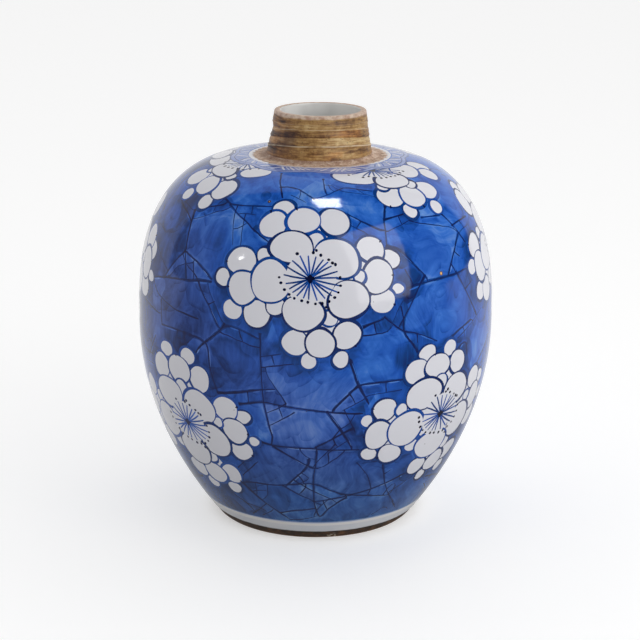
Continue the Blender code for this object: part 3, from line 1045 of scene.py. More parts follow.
    def _basis(self, azimuth: float, elevation: float) -> tuple[np.ndarray, np.ndarray, np.ndarray]:
        """Middle, right and up vectors of the plane that touches the body at a place.

        Args:
            azimuth: of the place, in degrees.
            elevation: of the place, in degrees.

        Returns:
            The middle in millimetres from the core point, and two unit vectors.
        """
        middle = aim(azimuth, elevation)
        right = np.array([math.cos(math.radians(azimuth)), math.sin(math.radians(azimuth)), 0.0])
        return middle * self.outline.distance(math.radians(elevation)), right, np.cross(middle, right)

    @staticmethod
    def _on_plane(basis: tuple[np.ndarray, ...], right: float, up: float, back: bool) -> np.ndarray:
        """Direction of a point of that plane, thrown over to the back if asked."""
        spot = basis[0] + basis[1] * right + basis[2] * up
        return spot / np.linalg.norm(spot) * np.array([1.0, -1.0 if back else 1.0, 1.0])

    def _petal(self, basis: tuple, oval: Oval, grow: float, back: bool, phases: list[float],
               uneven: float = 0.0) -> np.ndarray:
        """Edge of a petal.

        Args:
            basis: the blossom's plane.
            oval: (right, up, half width, half height, turn).
            grow: how much larger it is drawn, in millimetres.
            back: whether it is on the back.
            phases: the petal's own irregularity.
            uneven: how much the growth varies round it, in millimetres.

        Returns:
            The edge's unit vectors.
        """
        right, up, half_width, half_height = oval[:4]
        turn = math.radians(oval[4]) if len(oval) > 4 else 0.0
        count = next(corners for least, corners in self.petal_corners if half_width > least)
        edge = []
        for index in range(count):
            angle = math.tau * index / count
            swell = 1.0
            for (waves, tall), phase in zip(self.petal_waves, phases):
                swell += tall * math.sin(waves * angle + phase)
            extra = grow + uneven * math.sin(angle + phases[2])
            extra += 0.5 * uneven * math.sin(3 * angle + phases[3])
            across = (half_width * swell + extra) * math.cos(angle)
            along = (half_height * swell + extra) * math.sin(angle)
            x = right + across * math.cos(turn) - along * math.sin(turn)
            y = up + across * math.sin(turn) + along * math.cos(turn)
            edge.append(self._on_plane(basis, x, y, back))
        return np.array(edge)

    def _jittered(self, oval: Oval, free: bool) -> Oval:
        """The oval as given, or a little different where the painter worked freely.

        Args:
            oval: (right, up, half width, half height, turn).
            free: whether it may differ.

        Returns:
            The oval.
        """
        if not free:
            return oval
        shifts = [self.hand.gauss(0, spread) for spread in self.petal_jitter]
        return tuple(value + shift for value, shift in zip(oval[:4], shifts)) + tuple(oval[4:])

    def _blossom(self, blossom: Blossom, azimuth: float, elevation: float, back: bool, free: bool) -> None:
        """Paint one blossom, from its hindmost petals to its pollen.

        Args:
            blossom: how it is set out.
            azimuth: of its heart, in degrees.
            elevation: of its heart, in degrees.
            back: whether it is thrown over to the back.
            free: whether its petals vary from the set-out.
        """
        canvas, hand = self.canvas, self.hand
        basis = self._basis(azimuth, elevation)
        layers = [
            [(self._jittered(oval, free), [hand.uniform(0, math.tau) for _ in range(4)]) for oval in group]
            for group in (blossom.small, blossom.side, blossom.middle, blossom.filler, blossom.main)
        ]
        for ovals in layers[:3] + layers[4:]:
            for oval, phases in ovals:
                edge = self._petal(basis, oval, self.shade_reach, back, phases, self.shade_uneven)
                canvas.fill(edge, Paint.SHADOW, hand.uniform(-0.05, 0.08))
        self._white_between(basis, layers, back)
        for ovals in layers:
            for oval, phases in ovals:
                shade = hand.uniform(-0.07, 0.13) - 0.5 * blossom.pale
                for reach, uneven, paint, more in (
                    (self.contour_reach, self.contour_uneven, Paint.CONTOUR, shade),
                    (self.white_reach, -self.contour_uneven, Paint.GLAZE, 0.0),
                ):
                    canvas.fill(self._petal(basis, oval, reach, back, phases, uneven), paint, more)
        radius = blossom.heart_radius
        canvas.fill(
            self._petal(basis, (*blossom.heart, radius, radius), 0.0, back, [0.0, 1.0, 2.0, 3.0]),
            Paint.HEART,
        )
        for share, cobalt_more in self.heart_glows:
            glow = (*blossom.heart, radius * share, radius * share)
            canvas.fill(self._petal(basis, glow, 0.0, back, [0.5, 2.0, 1.0, 4.0]), Paint.HEART, cobalt_more)
        self._tips(basis, layers, back)
        self._fan(basis, blossom, back, free)

    def _white_between(self, basis: tuple, layers: list, back: bool) -> None:
        """White glaze in the gaps between the petals of each cluster and the heart.

        Args:
            basis: the plane, as _basis gives it.
            layers: the petals, from the small ones to the main ones.
            back: whether it is on the back.
        """
        side, middle, main = layers[1], layers[2], layers[4]
        wedges = [[oval[:2] for oval, _ in main]]
        for index, (oval, _) in enumerate(middle):
            group = [part[:2] for part, _ in side[2 * index:2 * index + 2]] + [oval[:2]]
            wedges.append([(0.0, 0.0)] + group)
        for wedge in wedges:
            centre = [sum(part) / len(wedge) for part in zip(*wedge)]
            wedge.sort(key=lambda spot: math.atan2(spot[1] - centre[1], spot[0] - centre[0]))
            corners = [self._on_plane(basis, right, up, back) for right, up in wedge]
            self.canvas.fill(np.array(corners), Paint.HEART)

    def _tips(self, basis: tuple, layers: list, back: bool) -> None:
        """Small dark ticks, where the outline of a petal was begun.

        Args:
            basis: the plane, as _basis gives it.
            layers: the petals, from the small ones to the main ones.
            back: whether it is on the back.
        """
        hand = self.hand
        marks = []
        for index, (oval, _) in enumerate(layers[1] + layers[2]):
            if index % 3 != 1:
                angle = math.atan2(oval[1], oval[0]) + hand.uniform(-0.4, 0.4)
                right, up = oval[0] + oval[2] * math.cos(angle), oval[1] + oval[3] * math.sin(angle)
                marks.append((right, up, angle))
        for right, up, angle in marks:
            run = hand.uniform(*self.tick_reach)
            path = np.array([
                self._on_plane(basis, right + step * math.cos(angle), up + step * math.sin(angle), back)
                for step in (-run, -run * 0.3, run * 0.4, run)
            ])
            self.canvas.stroke(path, list(self.tick_widths), Paint.INK, -0.08)

    def _fan(self, basis: tuple, blossom: Blossom, back: bool, free: bool) -> None:
        """Stamens, pollen and the dark heart.

        Args:
            basis: the plane, as _basis gives it.
            blossom: how it is set out.
            back: whether it is on the back.
            free: whether it leans and shrinks by chance.
        """
        hand, canvas = self.hand, self.canvas
        lean = hand.uniform(-0.25, 0.25) if free else 0.0
        size = hand.uniform(0.9, 1.0) if free or blossom.pale else 1.0

        def turned(spot: Place) -> Place:
            """The spot, leaned and sized for this blossom.

            Args:
                spot: (right, up) in millimetres.

            Returns:
                The new spot.
            """
            right, up = spot[0] * size, spot[1] * size
            return (
                right * math.cos(lean) - up * math.sin(lean),
                right * math.sin(lean) + up * math.cos(lean),
            )

        heart = blossom.heart
        for end in blossom.fan_ends:
            right, up = turned(end)
            bend = hand.uniform(-self.stamen_bend, self.stamen_bend)
            path = []
            for share in (0.08, 0.36, 0.68, 1.0):
                sag = bend * math.sin(math.pi * share)
                path.append(self._on_plane(
                    basis,
                    heart[0] + (right - heart[0]) * share - sag * up / 10,
                    heart[1] + (up - heart[1]) * share + sag * right / 10,
                    back,
                ))
            canvas.stroke(np.array(path), list(self.stamen_widths), Paint.STAMEN,
                          hand.uniform(-0.06, 0.07) - blossom.pale)
        for spot in blossom.pollen:
            right, up = turned(spot)
            radius = hand.uniform(*self.pollen_radius)
            tall = radius * hand.uniform(0.8, 1.2)
            edge = [
                self._on_plane(basis, right + radius * math.cos(turn), up + tall * math.sin(turn), back)
                for turn in np.linspace(0, math.tau, 9, endpoint=False)
            ]
            canvas.fill(np.array(edge), Paint.INK, -blossom.pale)
        centre = [
            self._on_plane(
                basis,
                heart[0] + self.heart_half_width * (0.8 + 0.3 * math.sin(3 * turn)) * math.cos(turn),
                heart[1] + self.heart_half_height * (0.8 + 0.3 * math.cos(4 * turn)) * math.sin(turn),
                back,
            )
            for turn in np.linspace(0, math.tau, 18, endpoint=False)
        ]
        canvas.fill(np.array(centre), Paint.INK, -blossom.pale)


class Plates:
    """Finds the plates of ice between the cracks and gives each its own tone."""

    # Painted shade: the direction the light comes from, in degrees, and how the ground turns muted and violet
    # away from it
    lit_from = (35.0, 42.0)
    lit_reach = 75.0
    violet_start, violet_fall, violet_most = 2.05, 1.42, 0.65
    violet_lost_in_pools = 0.35
    violet_of_band = 0.9
    # Slow changes of cobalt over the body: shift of cobalt, level where it starts or peaks, millimetres it
    # takes
    lighter_up_the_shoulder = (0.115, 104.0, 28.0)
    lighter_low_on_body = (0.110, 58.0, 18.0)
    lighter_near_foot = (0.03, 40.0, 16.0)
    # Painted shade: darker towards the left, away from the light: shift of cobalt and the millimetres it
    # takes
    painted_shade_on_left = (0.055, 50.0)
    # Plates: cobalt for one step of PLATE_DEPTHS, the chance shift of the others, less for small ones
    plate_step = 0.034
    plate_chance = (-0.08, 0.07)
    small_plate, small_share = 6, 0.35
    violet_chance = 0.25
    # Pools beside the blossoms, between two levels: reach in millimetres and how sharply it ends
    pool_levels = (12.0, 146.0)
    pool_reach, pool_power = 5.2, 1.4

    def __init__(self, skin: Skin, seed: int) -> None:
        """Take the skin to tone.

        Args:
            skin: the painted skin.
            seed: starts the choice of tones.
        """
        self.skin = skin
        self.hand = random.Random(seed)

    def tone(self) -> None:
        """Fill in the skin's rim, violet, pool and mist, and shift its cobalt plate by plate; the violet is
        partly painted shade away from the light.
        """
        skin = self.skin
        ground = skin.wash > 0.95
        labels = self._labels(ground)
        touched = np.zeros(len(skin.points), bool)
        touched[skin.faces[~ground].ravel()] = True
        skin.rim = (touched[skin.faces] & ground[:, None]).astype(float)
        middles = skin.points[skin.faces].mean(axis=1)
        skin.pool = self._nearness(skin.faces[(skin.wash == 0.0) & (skin.cobalt < 0.05) & (skin.clay == 0.0)])
        skin.mist = self._bells(MISTS, skin.points)
        # Painted shade: the ground turns violet away from the light, the back the same as the front
        on_one_side = middles.copy()
        on_one_side[:, 1] = -np.abs(on_one_side[:, 1])
        lit = on_one_side @ (aim(*self.lit_from) / self.lit_reach)
        skin.violet = np.clip(self.violet_start - self.violet_fall * lit, 0.0, self.violet_most)
        skin.violet -= self.violet_lost_in_pools * skin.pool[skin.faces].mean(axis=1)
        skin.cobalt = self._slow_changes(skin.cobalt, middles, ground)
        depths = self._depths(labels, middles)
        order = np.argsort(labels, kind="stable")
        splits = np.split(order, np.flatnonzero(np.diff(labels[order])) + 1)
        for members in splits:
            if labels[members[0]] < 0:
                continue
            centre = middles[members].mean(axis=0)
            spread = float(np.linalg.norm(middles[members] - centre, axis=1).max())
            chance = self.hand.uniform(*self.plate_chance)
            chance *= self.small_share if spread < self.small_plate else 1.0
            skin.cobalt[members] += depths.get(int(labels[members[0]]), chance)
            skin.violet[members] += self.hand.uniform(-self.violet_chance, self.violet_chance)
        band = (skin.wash > 0.25) & (skin.wash < 0.55)
        skin.violet[band] = self.violet_of_band
        skin.violet = np.clip(skin.violet, 0.0, 1.0)

    def _slow_changes(self, cobalt: np.ndarray, middles: np.ndarray, ground: np.ndarray) -> np.ndarray:
        """Shift the cobalt slowly over the body: lighter in some bands of height, darker on the left as
        painted shade, and in the soft patches.

        Args:
            cobalt: the faces' cobalt.
            middles: the faces' middles, in millimetres.
            ground: which faces are ground.

        Returns:
            The faces' new cobalt.
        """
        changed = cobalt.copy()
        across, level = middles[ground, 0], middles[ground, 2]
        amount, start, span = self.lighter_up_the_shoulder
        changed[ground] -= amount * np.clip((level - start) / span, 0.0, 1.0)
        amount, middle, span = self.lighter_low_on_body
        changed[ground] -= amount * np.exp(-((level - middle) / span) ** 2)
        amount, start, span = self.lighter_near_foot
        changed[ground] -= amount * np.clip((start - level) / span, 0.0, 1.0)
        # Painted shade: the ground is darker towards the left, away from the light
        amount, span = self.painted_shade_on_left
        changed[ground] += amount * np.clip(-across / span, 0.0, 1.0)
        changed[ground] += self._bells(SOFT_DEPTHS, middles[ground])
        return changed

    def _depths(self, labels: np.ndarray, middles: np.ndarray) -> dict[int, float]:
        """Shift of cobalt for each plate that PLATE_DEPTHS names, on the front and the back.

        Args:
            labels: the number of each face's plate.
            middles: the faces' middles, in millimetres.

        Returns:
            The shift by the plate's number.
        """
        found = {}
        for back in (1.0, -1.0):
            for azimuth, elevation, step in PLATE_DEPTHS:
                gaps = self._gaps(middles, azimuth, elevation, back)
                gaps = gaps + np.where(labels < 0, 1000.0, 0.0)
                found.setdefault(int(labels[int(gaps.argmin())]), self.plate_step * step)
        return found

    def _nearness(self, white: np.ndarray) -> np.ndarray:
        """How near each point is to the white of a blossom, from 0 far off to 1 beside it.

        Args:
            white: the corners of the white faces.

        Returns:
            The nearness of every point of the skin.
        """
        points = self.skin.points
        lowest, highest = self.pool_levels
        used = [index for index in np.unique(white) if lowest < points[index, 2] < highest]
        tree = kdtree.KDTree(len(used))
        for index in used:
            tree.insert(points[index], int(index))
        tree.balance()
        gaps = np.array([tree.find(point)[2] for point in points])
        return np.exp(-(gaps / self.pool_reach) ** self.pool_power)

    @staticmethod
    def _gaps(places: np.ndarray, azimuth: float, elevation: float, side: float) -> np.ndarray:
        """Distances to a spot on the front, for a side of 1, or behind it on the back, for -1."""
        spot, _ = OUTLINE.surface((aim(azimuth, elevation) * np.array([1.0, side, 1.0]))[None, :])
        return np.linalg.norm(places - spot, axis=1)

    def _bells(self, rows: tuple[tuple[float, ...], ...], places: np.ndarray) -> np.ndarray:
        """Soft round spots added up, on the front and the back.

        Args:
            rows: azimuth, elevation, radius in millimetres and height of each spot.
            places: points in millimetres.

        Returns:
            The sum at each place.
        """
        total = np.zeros(len(places))
        for azimuth, elevation, radius, height in rows:
            for side in (1.0, -1.0):
                total += height * np.exp(-(self._gaps(places, azimuth, elevation, side) / radius) ** 2)
        return total

    def _labels(self, ground: np.ndarray) -> np.ndarray:
        """Number of the plate that each face lies in, or -1 off the ground.

        Args:
            ground: which faces are ground.

        Returns:
            The numbers.
        """
        owner: dict[tuple[int, int], int] = {}
        parent = list(range(len(self.skin.faces)))

        def root(face: int) -> int:
            """The face that stands for a plate so far.

            Args:
                face: any face of the plate.

            Returns:
                The number of the face.
            """
            while parent[face] != face:
                parent[face] = parent[parent[face]]
                face = parent[face]
            return face

        for index, face in enumerate(self.skin.faces.tolist()):
            if not ground[index]:
                continue
            for start, end in ((face[0], face[1]), (face[1], face[2]), (face[2], face[0])):
                other = owner.setdefault((min(start, end), max(start, end)), index)
                if other != index:
                    parent[root(other)] = root(index)
        return np.array([root(index) if ground[index] else -1 for index in range(len(parent))])


class Bench:
    """A node tree being wired, with a short method for each kind of node that the finishes use."""

    def __init__(self, tree: bpy.types.NodeTree) -> None:
        """Take the tree to wire."""
        self.tree = tree

    def add(self, kind: str, **settings: object) -> bpy.types.Node:
        """A new node with some of its settings changed.

        Args:
            kind: the node's type.
            **settings: the properties to change.

        Returns:
            The node.
        """
        node = self.tree.nodes.new(kind)
        for name, value in settings.items():
            setattr(node, name, value)
        return node

    def feed(self, socket: bpy.types.NodeSocket, value: object) -> None:
        """Link a socket into another, or set its value.

        Args:
            socket: what is fed.
            value: a socket, or a value for this one.
        """
        if isinstance(value, bpy.types.NodeSocket):
            self.tree.links.new(value, socket)
        elif isinstance(value, tuple) and socket.type == "RGBA":
            socket.default_value = (*value[:3], 1.0)
        else:
            socket.default_value = value

    def node(self, kind: str, output: int | str, inputs: dict[int | str, object],
             **settings: object) -> bpy.types.NodeSocket:
        """A new node, fed, of which one output is wanted.

        Args:
            kind: the node's type.
            output: the output that is wanted.
            inputs: what feeds each of its inputs.
            **settings: the properties to change.

        Returns:
            The output's socket.
        """
        node = self.add(kind, **settings)
        for label, value in inputs.items():
            self.feed(node.inputs[label], value)
        return node.outputs[output]

    def number(self, operation: str, *terms: object) -> bpy.types.NodeSocket:
        """A sum on numbers."""
        return self.node("ShaderNodeMath", 0, dict(enumerate(terms)), operation=operation)

    def times(self, first: object, second: object) -> bpy.types.NodeSocket:
        """One number times another."""
        return self.number("MULTIPLY", first, second)

    def times_plus(self, first: object, second: object, third: object) -> bpy.types.NodeSocket:
        """One number times another, with a third added."""
        return self.number("MULTIPLY_ADD", first, second, third)

    def vector(self, operation: str, first: object, second: object) -> bpy.types.NodeSocket:
        """A sum on vectors; a distance comes out as a number."""
        output = "Value" if operation == "DISTANCE" else "Vector"
        return self.node("ShaderNodeVectorMath", output, {0: first, 1: second}, operation=operation)

    def attribute(self, name: str) -> bpy.types.NodeSocket:
        """One of the mesh's own attributes, as a number."""
        return self.node("ShaderNodeAttribute", "Fac", {}, attribute_name=name)

    def place(self) -> bpy.types.NodeSocket:
        """Where the point is on the object, in metres."""
        return self.node("ShaderNodeTexCoord", "Object", {})

    def split(self, vector: object) -> tuple[bpy.types.NodeSocket, ...]:
        """The three parts of a vector."""
        return tuple(self.node("ShaderNodeSeparateXYZ", 0, {0: vector}).node.outputs)

    def from_axis(self, place: object) -> bpy.types.NodeSocket:
        """Distance of a place from the jar's axis."""
        across, depth, _ = self.split(place)
        return self.number("SQRT", self.number("ADD", self.times(across, across), self.times(depth, depth)))

    def stretched(self, vector: object, scale: tuple[float, float, float]) -> bpy.types.NodeSocket:
        """The same place on a pattern that is stretched by three scales."""
        return self.node("ShaderNodeMapping", "Vector", {"Vector": vector, "Scale": scale})

    def noise(self, vector: object, scale: float, detail: float = 2.0, roughness: float = 0.5,
              distortion: float = 0.0) -> bpy.types.NodeSocket:
        """Cloudy noise, from 0 to 1."""
        layers = {"Detail": detail, "Roughness": roughness, "Distortion": distortion}
        return self.node("ShaderNodeTexNoise", "Fac", {"Vector": vector, "Scale": scale, **layers})

    def band_noise(self, level: object, scale: float, detail: float) -> bpy.types.NodeSocket:
        """Noise along one number, which gives uneven bands."""
        inputs = {"W": level, "Scale": scale, "Detail": detail}
        return self.node("ShaderNodeTexNoise", "Fac", inputs, noise_dimensions="1D")

    def spots(self, vector: object, scale: float) -> bpy.types.Node:
        """Scattered cells: distance to the nearest point, and a colour for each."""
        return self.node("ShaderNodeTexVoronoi", 0, {"Vector": vector, "Scale": scale}).node

    def between(self, value: object, low: float, high: float, start: object = 0.0,
                end: object = 1.0) -> bpy.types.NodeSocket:
        """The value carried over from low and high to start and end, and held at its ends."""
        inputs = {"Value": value, "From Min": low, "From Max": high, "To Min": start, "To Max": end}
        return self.node("ShaderNodeMapRange", "Result", inputs, clamp=True, interpolation_type="SMOOTHSTEP")

    def ramp(self, factor: object, stops: Stops) -> bpy.types.NodeSocket:
        """A colour that runs through stops.

        Args:
            factor: where to read it.
            stops: places from 0 to 1, and their colours.

        Returns:
            The colour's socket.
        """
        colour = self.node("ShaderNodeValToRGB", "Color", {"Fac": factor})
        steps = colour.node.color_ramp.elements
        while len(steps) < len(stops):
            steps.new(0.5)
        for step, (position, shade) in zip(steps, stops):
            step.position = position
            step.color = (*shade, 1.0)
        return colour

    def mix(self, factor: object, first: object, second: object, blend: str = "MIX") -> bpy.types.NodeSocket:
        """One colour over another."""
        inputs = {"Factor": factor, "A": first, "B": second}
        return self.node("ShaderNodeMix", "Result", inputs, data_type="RGBA", blend_type=blend)

    def tinge(self, colour: object, mask: object, strength: float, other: object) -> bpy.types.NodeSocket:
        """A colour with another laid over it where a mask says, at some strength."""
        return self.mix(self.times(mask, strength), colour, other)

    def bump(self, height: object, distance: float, strength: float) -> bpy.types.NodeSocket:
        """A normal tilted by a relief, of which 1 stands for a distance in metres."""
        inputs = {"Height": height, "Distance": distance, "Strength": strength}
        return self.node("ShaderNodeBump", "Normal", inputs)


class Effects:
    """Node groups that more than one finish uses."""

    @staticmethod
    def _group(name: str, inputs: dict[str, tuple[str, float]],
               outputs: dict[str, str]) -> tuple[Bench, bpy.types.Node, bpy.types.Node]:
        """A new group with its sockets, its way in and its way out.

        Args:
            name: the group's name.
            inputs: type and usual value by label.
            outputs: type by label.

        Returns:
            The group's bench, its way in and its way out.
        """
        tree = bpy.data.node_groups.new(name, "ShaderNodeTree")
        for label, (kind, value) in inputs.items():
            socket = tree.interface.new_socket(label, in_out="INPUT", socket_type=kind)
            if kind == "NodeSocketFloat":
                socket.default_value = value
        for label, kind in outputs.items():
            tree.interface.new_socket(label, in_out="OUTPUT", socket_type=kind)
        bench = Bench(tree)
        return bench, bench.add("NodeGroupInput"), bench.add("NodeGroupOutput")

    @classmethod
    def ripple(cls) -> bpy.types.NodeTree:
        """The slight waviness and pinholes of a melted glaze.

        Returns:
            The group.
        """
        bench, way_in, way_out = cls._group(
            "glaze_ripple",
            {"Vector": ("NodeSocketVector", 0.0)},
            {"Height": "NodeSocketFloat", "Pinholes": "NodeSocketFloat"},
        )
        vector = way_in.outputs["Vector"]
        slow = bench.noise(vector, 90.0, 2.0)
        fine = bench.times(bench.noise(vector, 1500.0, 2.0), 0.06)
        cells = bench.spots(vector, 330.0)
        chosen = bench.number("GREATER_THAN", bench.split(cells.outputs["Color"])[0], 0.965)
        near = bench.number("LESS_THAN", cells.outputs["Distance"], 0.075)
        pinholes = bench.times(chosen, near)
        height = bench.number("SUBTRACT", bench.number("ADD", slow, fine), bench.times(pinholes, 0.6))
        bench.feed(way_out.inputs["Height"], height)
        bench.feed(way_out.inputs["Pinholes"], pinholes)
        return bench.tree

    @classmethod
    def grain(cls) -> bpy.types.NodeTree:
        """The fine sandy grain and dark grit of bare fired clay.

        Returns:
            The group.
        """
        bench, way_in, way_out = cls._group(
            "clay_grain",
            {"Vector": ("NodeSocketVector", 0.0), "Size": ("NodeSocketFloat", 1.0)},
            {"Height": "NodeSocketFloat", "Grit": "NodeSocketFloat", "Cloud": "NodeSocketFloat"},
        )
        scaled = bench.add("ShaderNodeVectorMath", operation="SCALE")
        bench.feed(scaled.inputs[0], way_in.outputs["Vector"])
        bench.feed(scaled.inputs["Scale"], way_in.outputs["Size"])
        sand = bench.noise(scaled.outputs[0], 2600.0, 3.0, 0.65)
        cloud = bench.noise(scaled.outputs[0], 320.0, 3.0, 0.6)
        cells = bench.spots(scaled.outputs[0], 1100.0)
        chosen = bench.number("GREATER_THAN", bench.split(cells.outputs["Color"])[1], 0.86)
        grit = bench.times(chosen, bench.between(cells.outputs["Distance"], 0.42, 0.12))
        bench.feed(way_out.inputs["Height"], bench.number("ADD", sand, bench.times(cloud, 0.8)))
        bench.feed(way_out.inputs["Grit"], grit)
        bench.feed(way_out.inputs["Cloud"], cloud)
        return bench.tree


class Finish:
    """A finish: a new material, its bench and its shader."""

    groups: dict[str, bpy.types.NodeTree] = {}

    def __init__(self, name: str) -> None:
        """Start an empty material with a Principled shader.

        Args:
            name: the material's name.
        """
        self.material = bpy.data.materials.new(name)
        self.material.use_nodes = True
        self.bench = Bench(self.material.node_tree)
        self.shader = self.material.node_tree.nodes["Principled BSDF"]
        if not self.groups:
            self.groups["ripple"] = Effects.ripple()
            self.groups["grain"] = Effects.grain()

    def set(self, name: str, value: object) -> None:
        """Set or link one of the shader's sockets."""
        self.bench.feed(self.shader.inputs[name], value)

    def effect(self, name: str, **values: object) -> bpy.types.Node:
        """One of the shared effects, with its own values.

        Args:
            name: which effect.
            **values: its inputs by label.

        Returns:
            The group's node.
        """
        node = self.bench.add("ShaderNodeGroup", node_tree=self.groups[name])
        for label, value in values.items():
            self.bench.feed(node.inputs[label], value)
        return node


@dataclass(frozen=True)
class PaintedGlaze:
    """Cobalt painting under a clear glossy glaze."""

    # Colours by how much cobalt there is: bright, and muted where the ground turns violet, in the band and as
    # painted shade away from the light
    bright: Stops = (
        (0.0, tint(228, 228, 235)), (0.14, tint(176, 190, 226)), (0.34, tint(100, 146, 216)),
        (0.47, tint(52, 112, 206)), (0.58, tint(28, 86, 184)), (0.70, tint(12, 62, 132)),
        (0.82, tint(16, 34, 90)), (1.0, tint(11, 13, 38)),
    )
    muted: Stops = (
        (0.0, tint(228, 228, 235)), (0.14, tint(182, 188, 222)), (0.34, tint(118, 138, 200)),
        (0.47, tint(82, 108, 182)), (0.58, tint(56, 82, 154)), (0.70, tint(28, 48, 112)),
        (0.82, tint(22, 28, 78)), (1.0, tint(14, 13, 36)),
    )
    rust_edge: Colour = tint(232, 186, 124)
    rust_heart: Colour = tint(70, 46, 32)
    pinhole: Colour = tint(58, 46, 44)
    grey_cast: Colour = (0.84, 1.05, 0.82)
    # Painted light: the white band just above the foot is lightened and warmed, standing in for light from
    # the floor
    painted_light_cast: Colour = (1.18, 1.16, 1.02)
    roughness: float = 0.055
    streak_contrast: float = 0.23
    hair_contrast: float = 0.10
    arc_contrast: float = 0.12
    dab_contrast: float = 0.19
    clouding: float = 0.10
    pooling: float = 0.10
    thinning: float = 0.16
    pale_rims: float = 0.09
    dark_rims: float = 0.09
    line_breaks: float = 0.16
    grey_below: tuple[float, float] = (0.062, 0.006)
    painted_light_levels: tuple[float, float] = (0.0125, 0.0095)
    refraction: float = 1.46

    def make(self) -> bpy.types.Material:
        """Wire the finish.

        Returns:
            The material, which reads the attributes cobalt, wash, rim, violet, iron, pool and mist.
        """
        finish = Finish("painted_glaze")
        bench = finish.bench
        place = bench.place()
        cobalt, wash, rim, violet, iron, pool, mist = (
            bench.attribute(name) for name in ("cobalt", "wash", "rim", "violet", "iron", "pool", "mist")
        )
        ripple = finish.effect("ripple", Vector=place)
        strokes = self._strokes(bench, place)
        cloud = bench.times_plus(bench.noise(place, 34.0, 3.0, 0.55), 2.0, -1.0)
        where_pale = bench.between(bench.noise(place, 62.0, 2.0), 0.44, 0.60)
        pale = bench.times(bench.between(rim, 0.35, 1.0), where_pale)
        where_dark = bench.between(bench.noise(place, 85.0, 2.0), 0.46, 0.32)
        dark = bench.times(rim, where_dark)
        patchy = bench.noise(place, 150.0, 3.0, 0.6)
        pooled = bench.times(pool, bench.between(patchy, 0.2, 0.7, 0.6, 1.35))
        torn = bench.between(bench.noise(place, 300.0, 3.0, 0.6), 0.40, 0.60, 0.3, 1.0)
        thinned = bench.times(mist, torn)
        change = bench.times_plus(cloud, self.clouding, strokes)
        change = bench.times_plus(pooled, self.pooling, change)
        change = bench.times_plus(thinned, -self.thinning, change)
        change = bench.times_plus(pale, -self.pale_rims, change)
        change = bench.times_plus(dark, self.dark_rims, change)
        density = bench.times_plus(change, wash, cobalt)
        inky = bench.times(bench.between(cobalt, 0.6, 0.7), self.line_breaks)
        breaks = bench.times_plus(bench.noise(place, 420.0, 2.0), 1.0, -0.5)
        density = bench.times_plus(breaks, inky, density)
        # Muted colours where the violet attribute is high: the band's own violet, random plate tones, and
        # painted shade away from the light
        colour = bench.mix(violet, bench.ramp(density, self.bright), bench.ramp(density, self.muted))
        level = bench.split(place)[2]
        low = bench.between(level, *self.grey_below)
        greyed = bench.mix(1.0, colour, self.grey_cast, "MULTIPLY")
        colour = bench.mix(bench.times(low, bench.between(density, 0.2, 0.4)), colour, greyed)
        # Painted light: lighten and warm the band just above the foot
        painted_light_above_foot = bench.times(bench.between(level, *self.painted_light_levels), 0.6)
        colour = bench.mix(painted_light_above_foot, colour, self.painted_light_cast, "MULTIPLY")
        rust = bench.mix(bench.between(iron, 0.5, 0.9), self.rust_edge, self.rust_heart)
        colour = bench.mix(bench.number("GREATER_THAN", iron, 0.2), colour, rust)
        colour = bench.tinge(colour, ripple.outputs["Pinholes"], 0.8, self.pinhole)
        finish.set("Base Color", colour)
        haze = bench.times(bench.noise(place, 700.0, 3.0, 0.7), 0.05)
        finish.set("Roughness", bench.number("ADD", haze, self.roughness))
        finish.set("Normal", bench.bump(ripple.outputs["Height"], 0.00016, 0.55))
        finish.set("IOR", self.refraction)
        return finish.material

    def _strokes(self, bench: Bench, place: object) -> bpy.types.NodeSocket:
        """Long bent streaks of a wide brush, and the one-sided arcs where its strokes overlap.

        Args:
            bench: the finish's bench.
            place: where the point is, in metres.

        Returns:
            The socket of the wash's shift, a little either side of 0.
        """
        bend = bench.times(bench.noise(place, 24.0, 2.0), 0.06)
        bent = bench.vector("ADD", place, bend)
        wide = bench.noise(bench.stretched(bent, (330.0, 330.0, 70.0)), 1.0, 2.0, 0.5)
        fine = bench.noise(bench.stretched(bent, (1100.0, 1100.0, 150.0)), 1.0, 2.0, 0.6)
        total = bench.times_plus(wide, self.streak_contrast, -0.5 * self.streak_contrast)
        hairs = bench.times_plus(fine, self.hair_contrast, -0.5 * self.hair_contrast)
        total = bench.number("ADD", hairs, total)
        for scale, shift, share in ((74.0, 0.0, 1.0), (46.0, 0.37, 0.85)):
            warp = bench.times_plus(bench.noise(place, 60.0, 2.0), 0.010, shift)
            spot = bench.vector("ADD", place, warp)
            cells = bench.spots(spot, scale)
            reach = cells.outputs["Distance"]
            chance = bench.split(cells.outputs["Color"])
            lift = bench.split(bench.vector("SUBTRACT", spot, cells.outputs["Position"]))[2]
            side = bench.number("DIVIDE", bench.times(lift, -scale), bench.number("MAXIMUM", reach, 0.02))
            arc = bench.number("POWER", bench.number("FRACT", bench.times(reach, 3.4)), 5.0)
            arc = bench.times(arc, bench.between(side, 0.0, 0.6))
            arc = bench.times(arc, bench.between(bench.noise(place, 90.0, 2.0), 0.40, 0.60))
            total = bench.times_plus(arc, self.arc_contrast * share, total)
            inside = bench.between(reach, 0.54, 0.42)
            tone = bench.times(bench.number("SUBTRACT", chance[0], 0.5), inside)
            total = bench.times_plus(tone, self.dab_contrast * share, total)
        return total


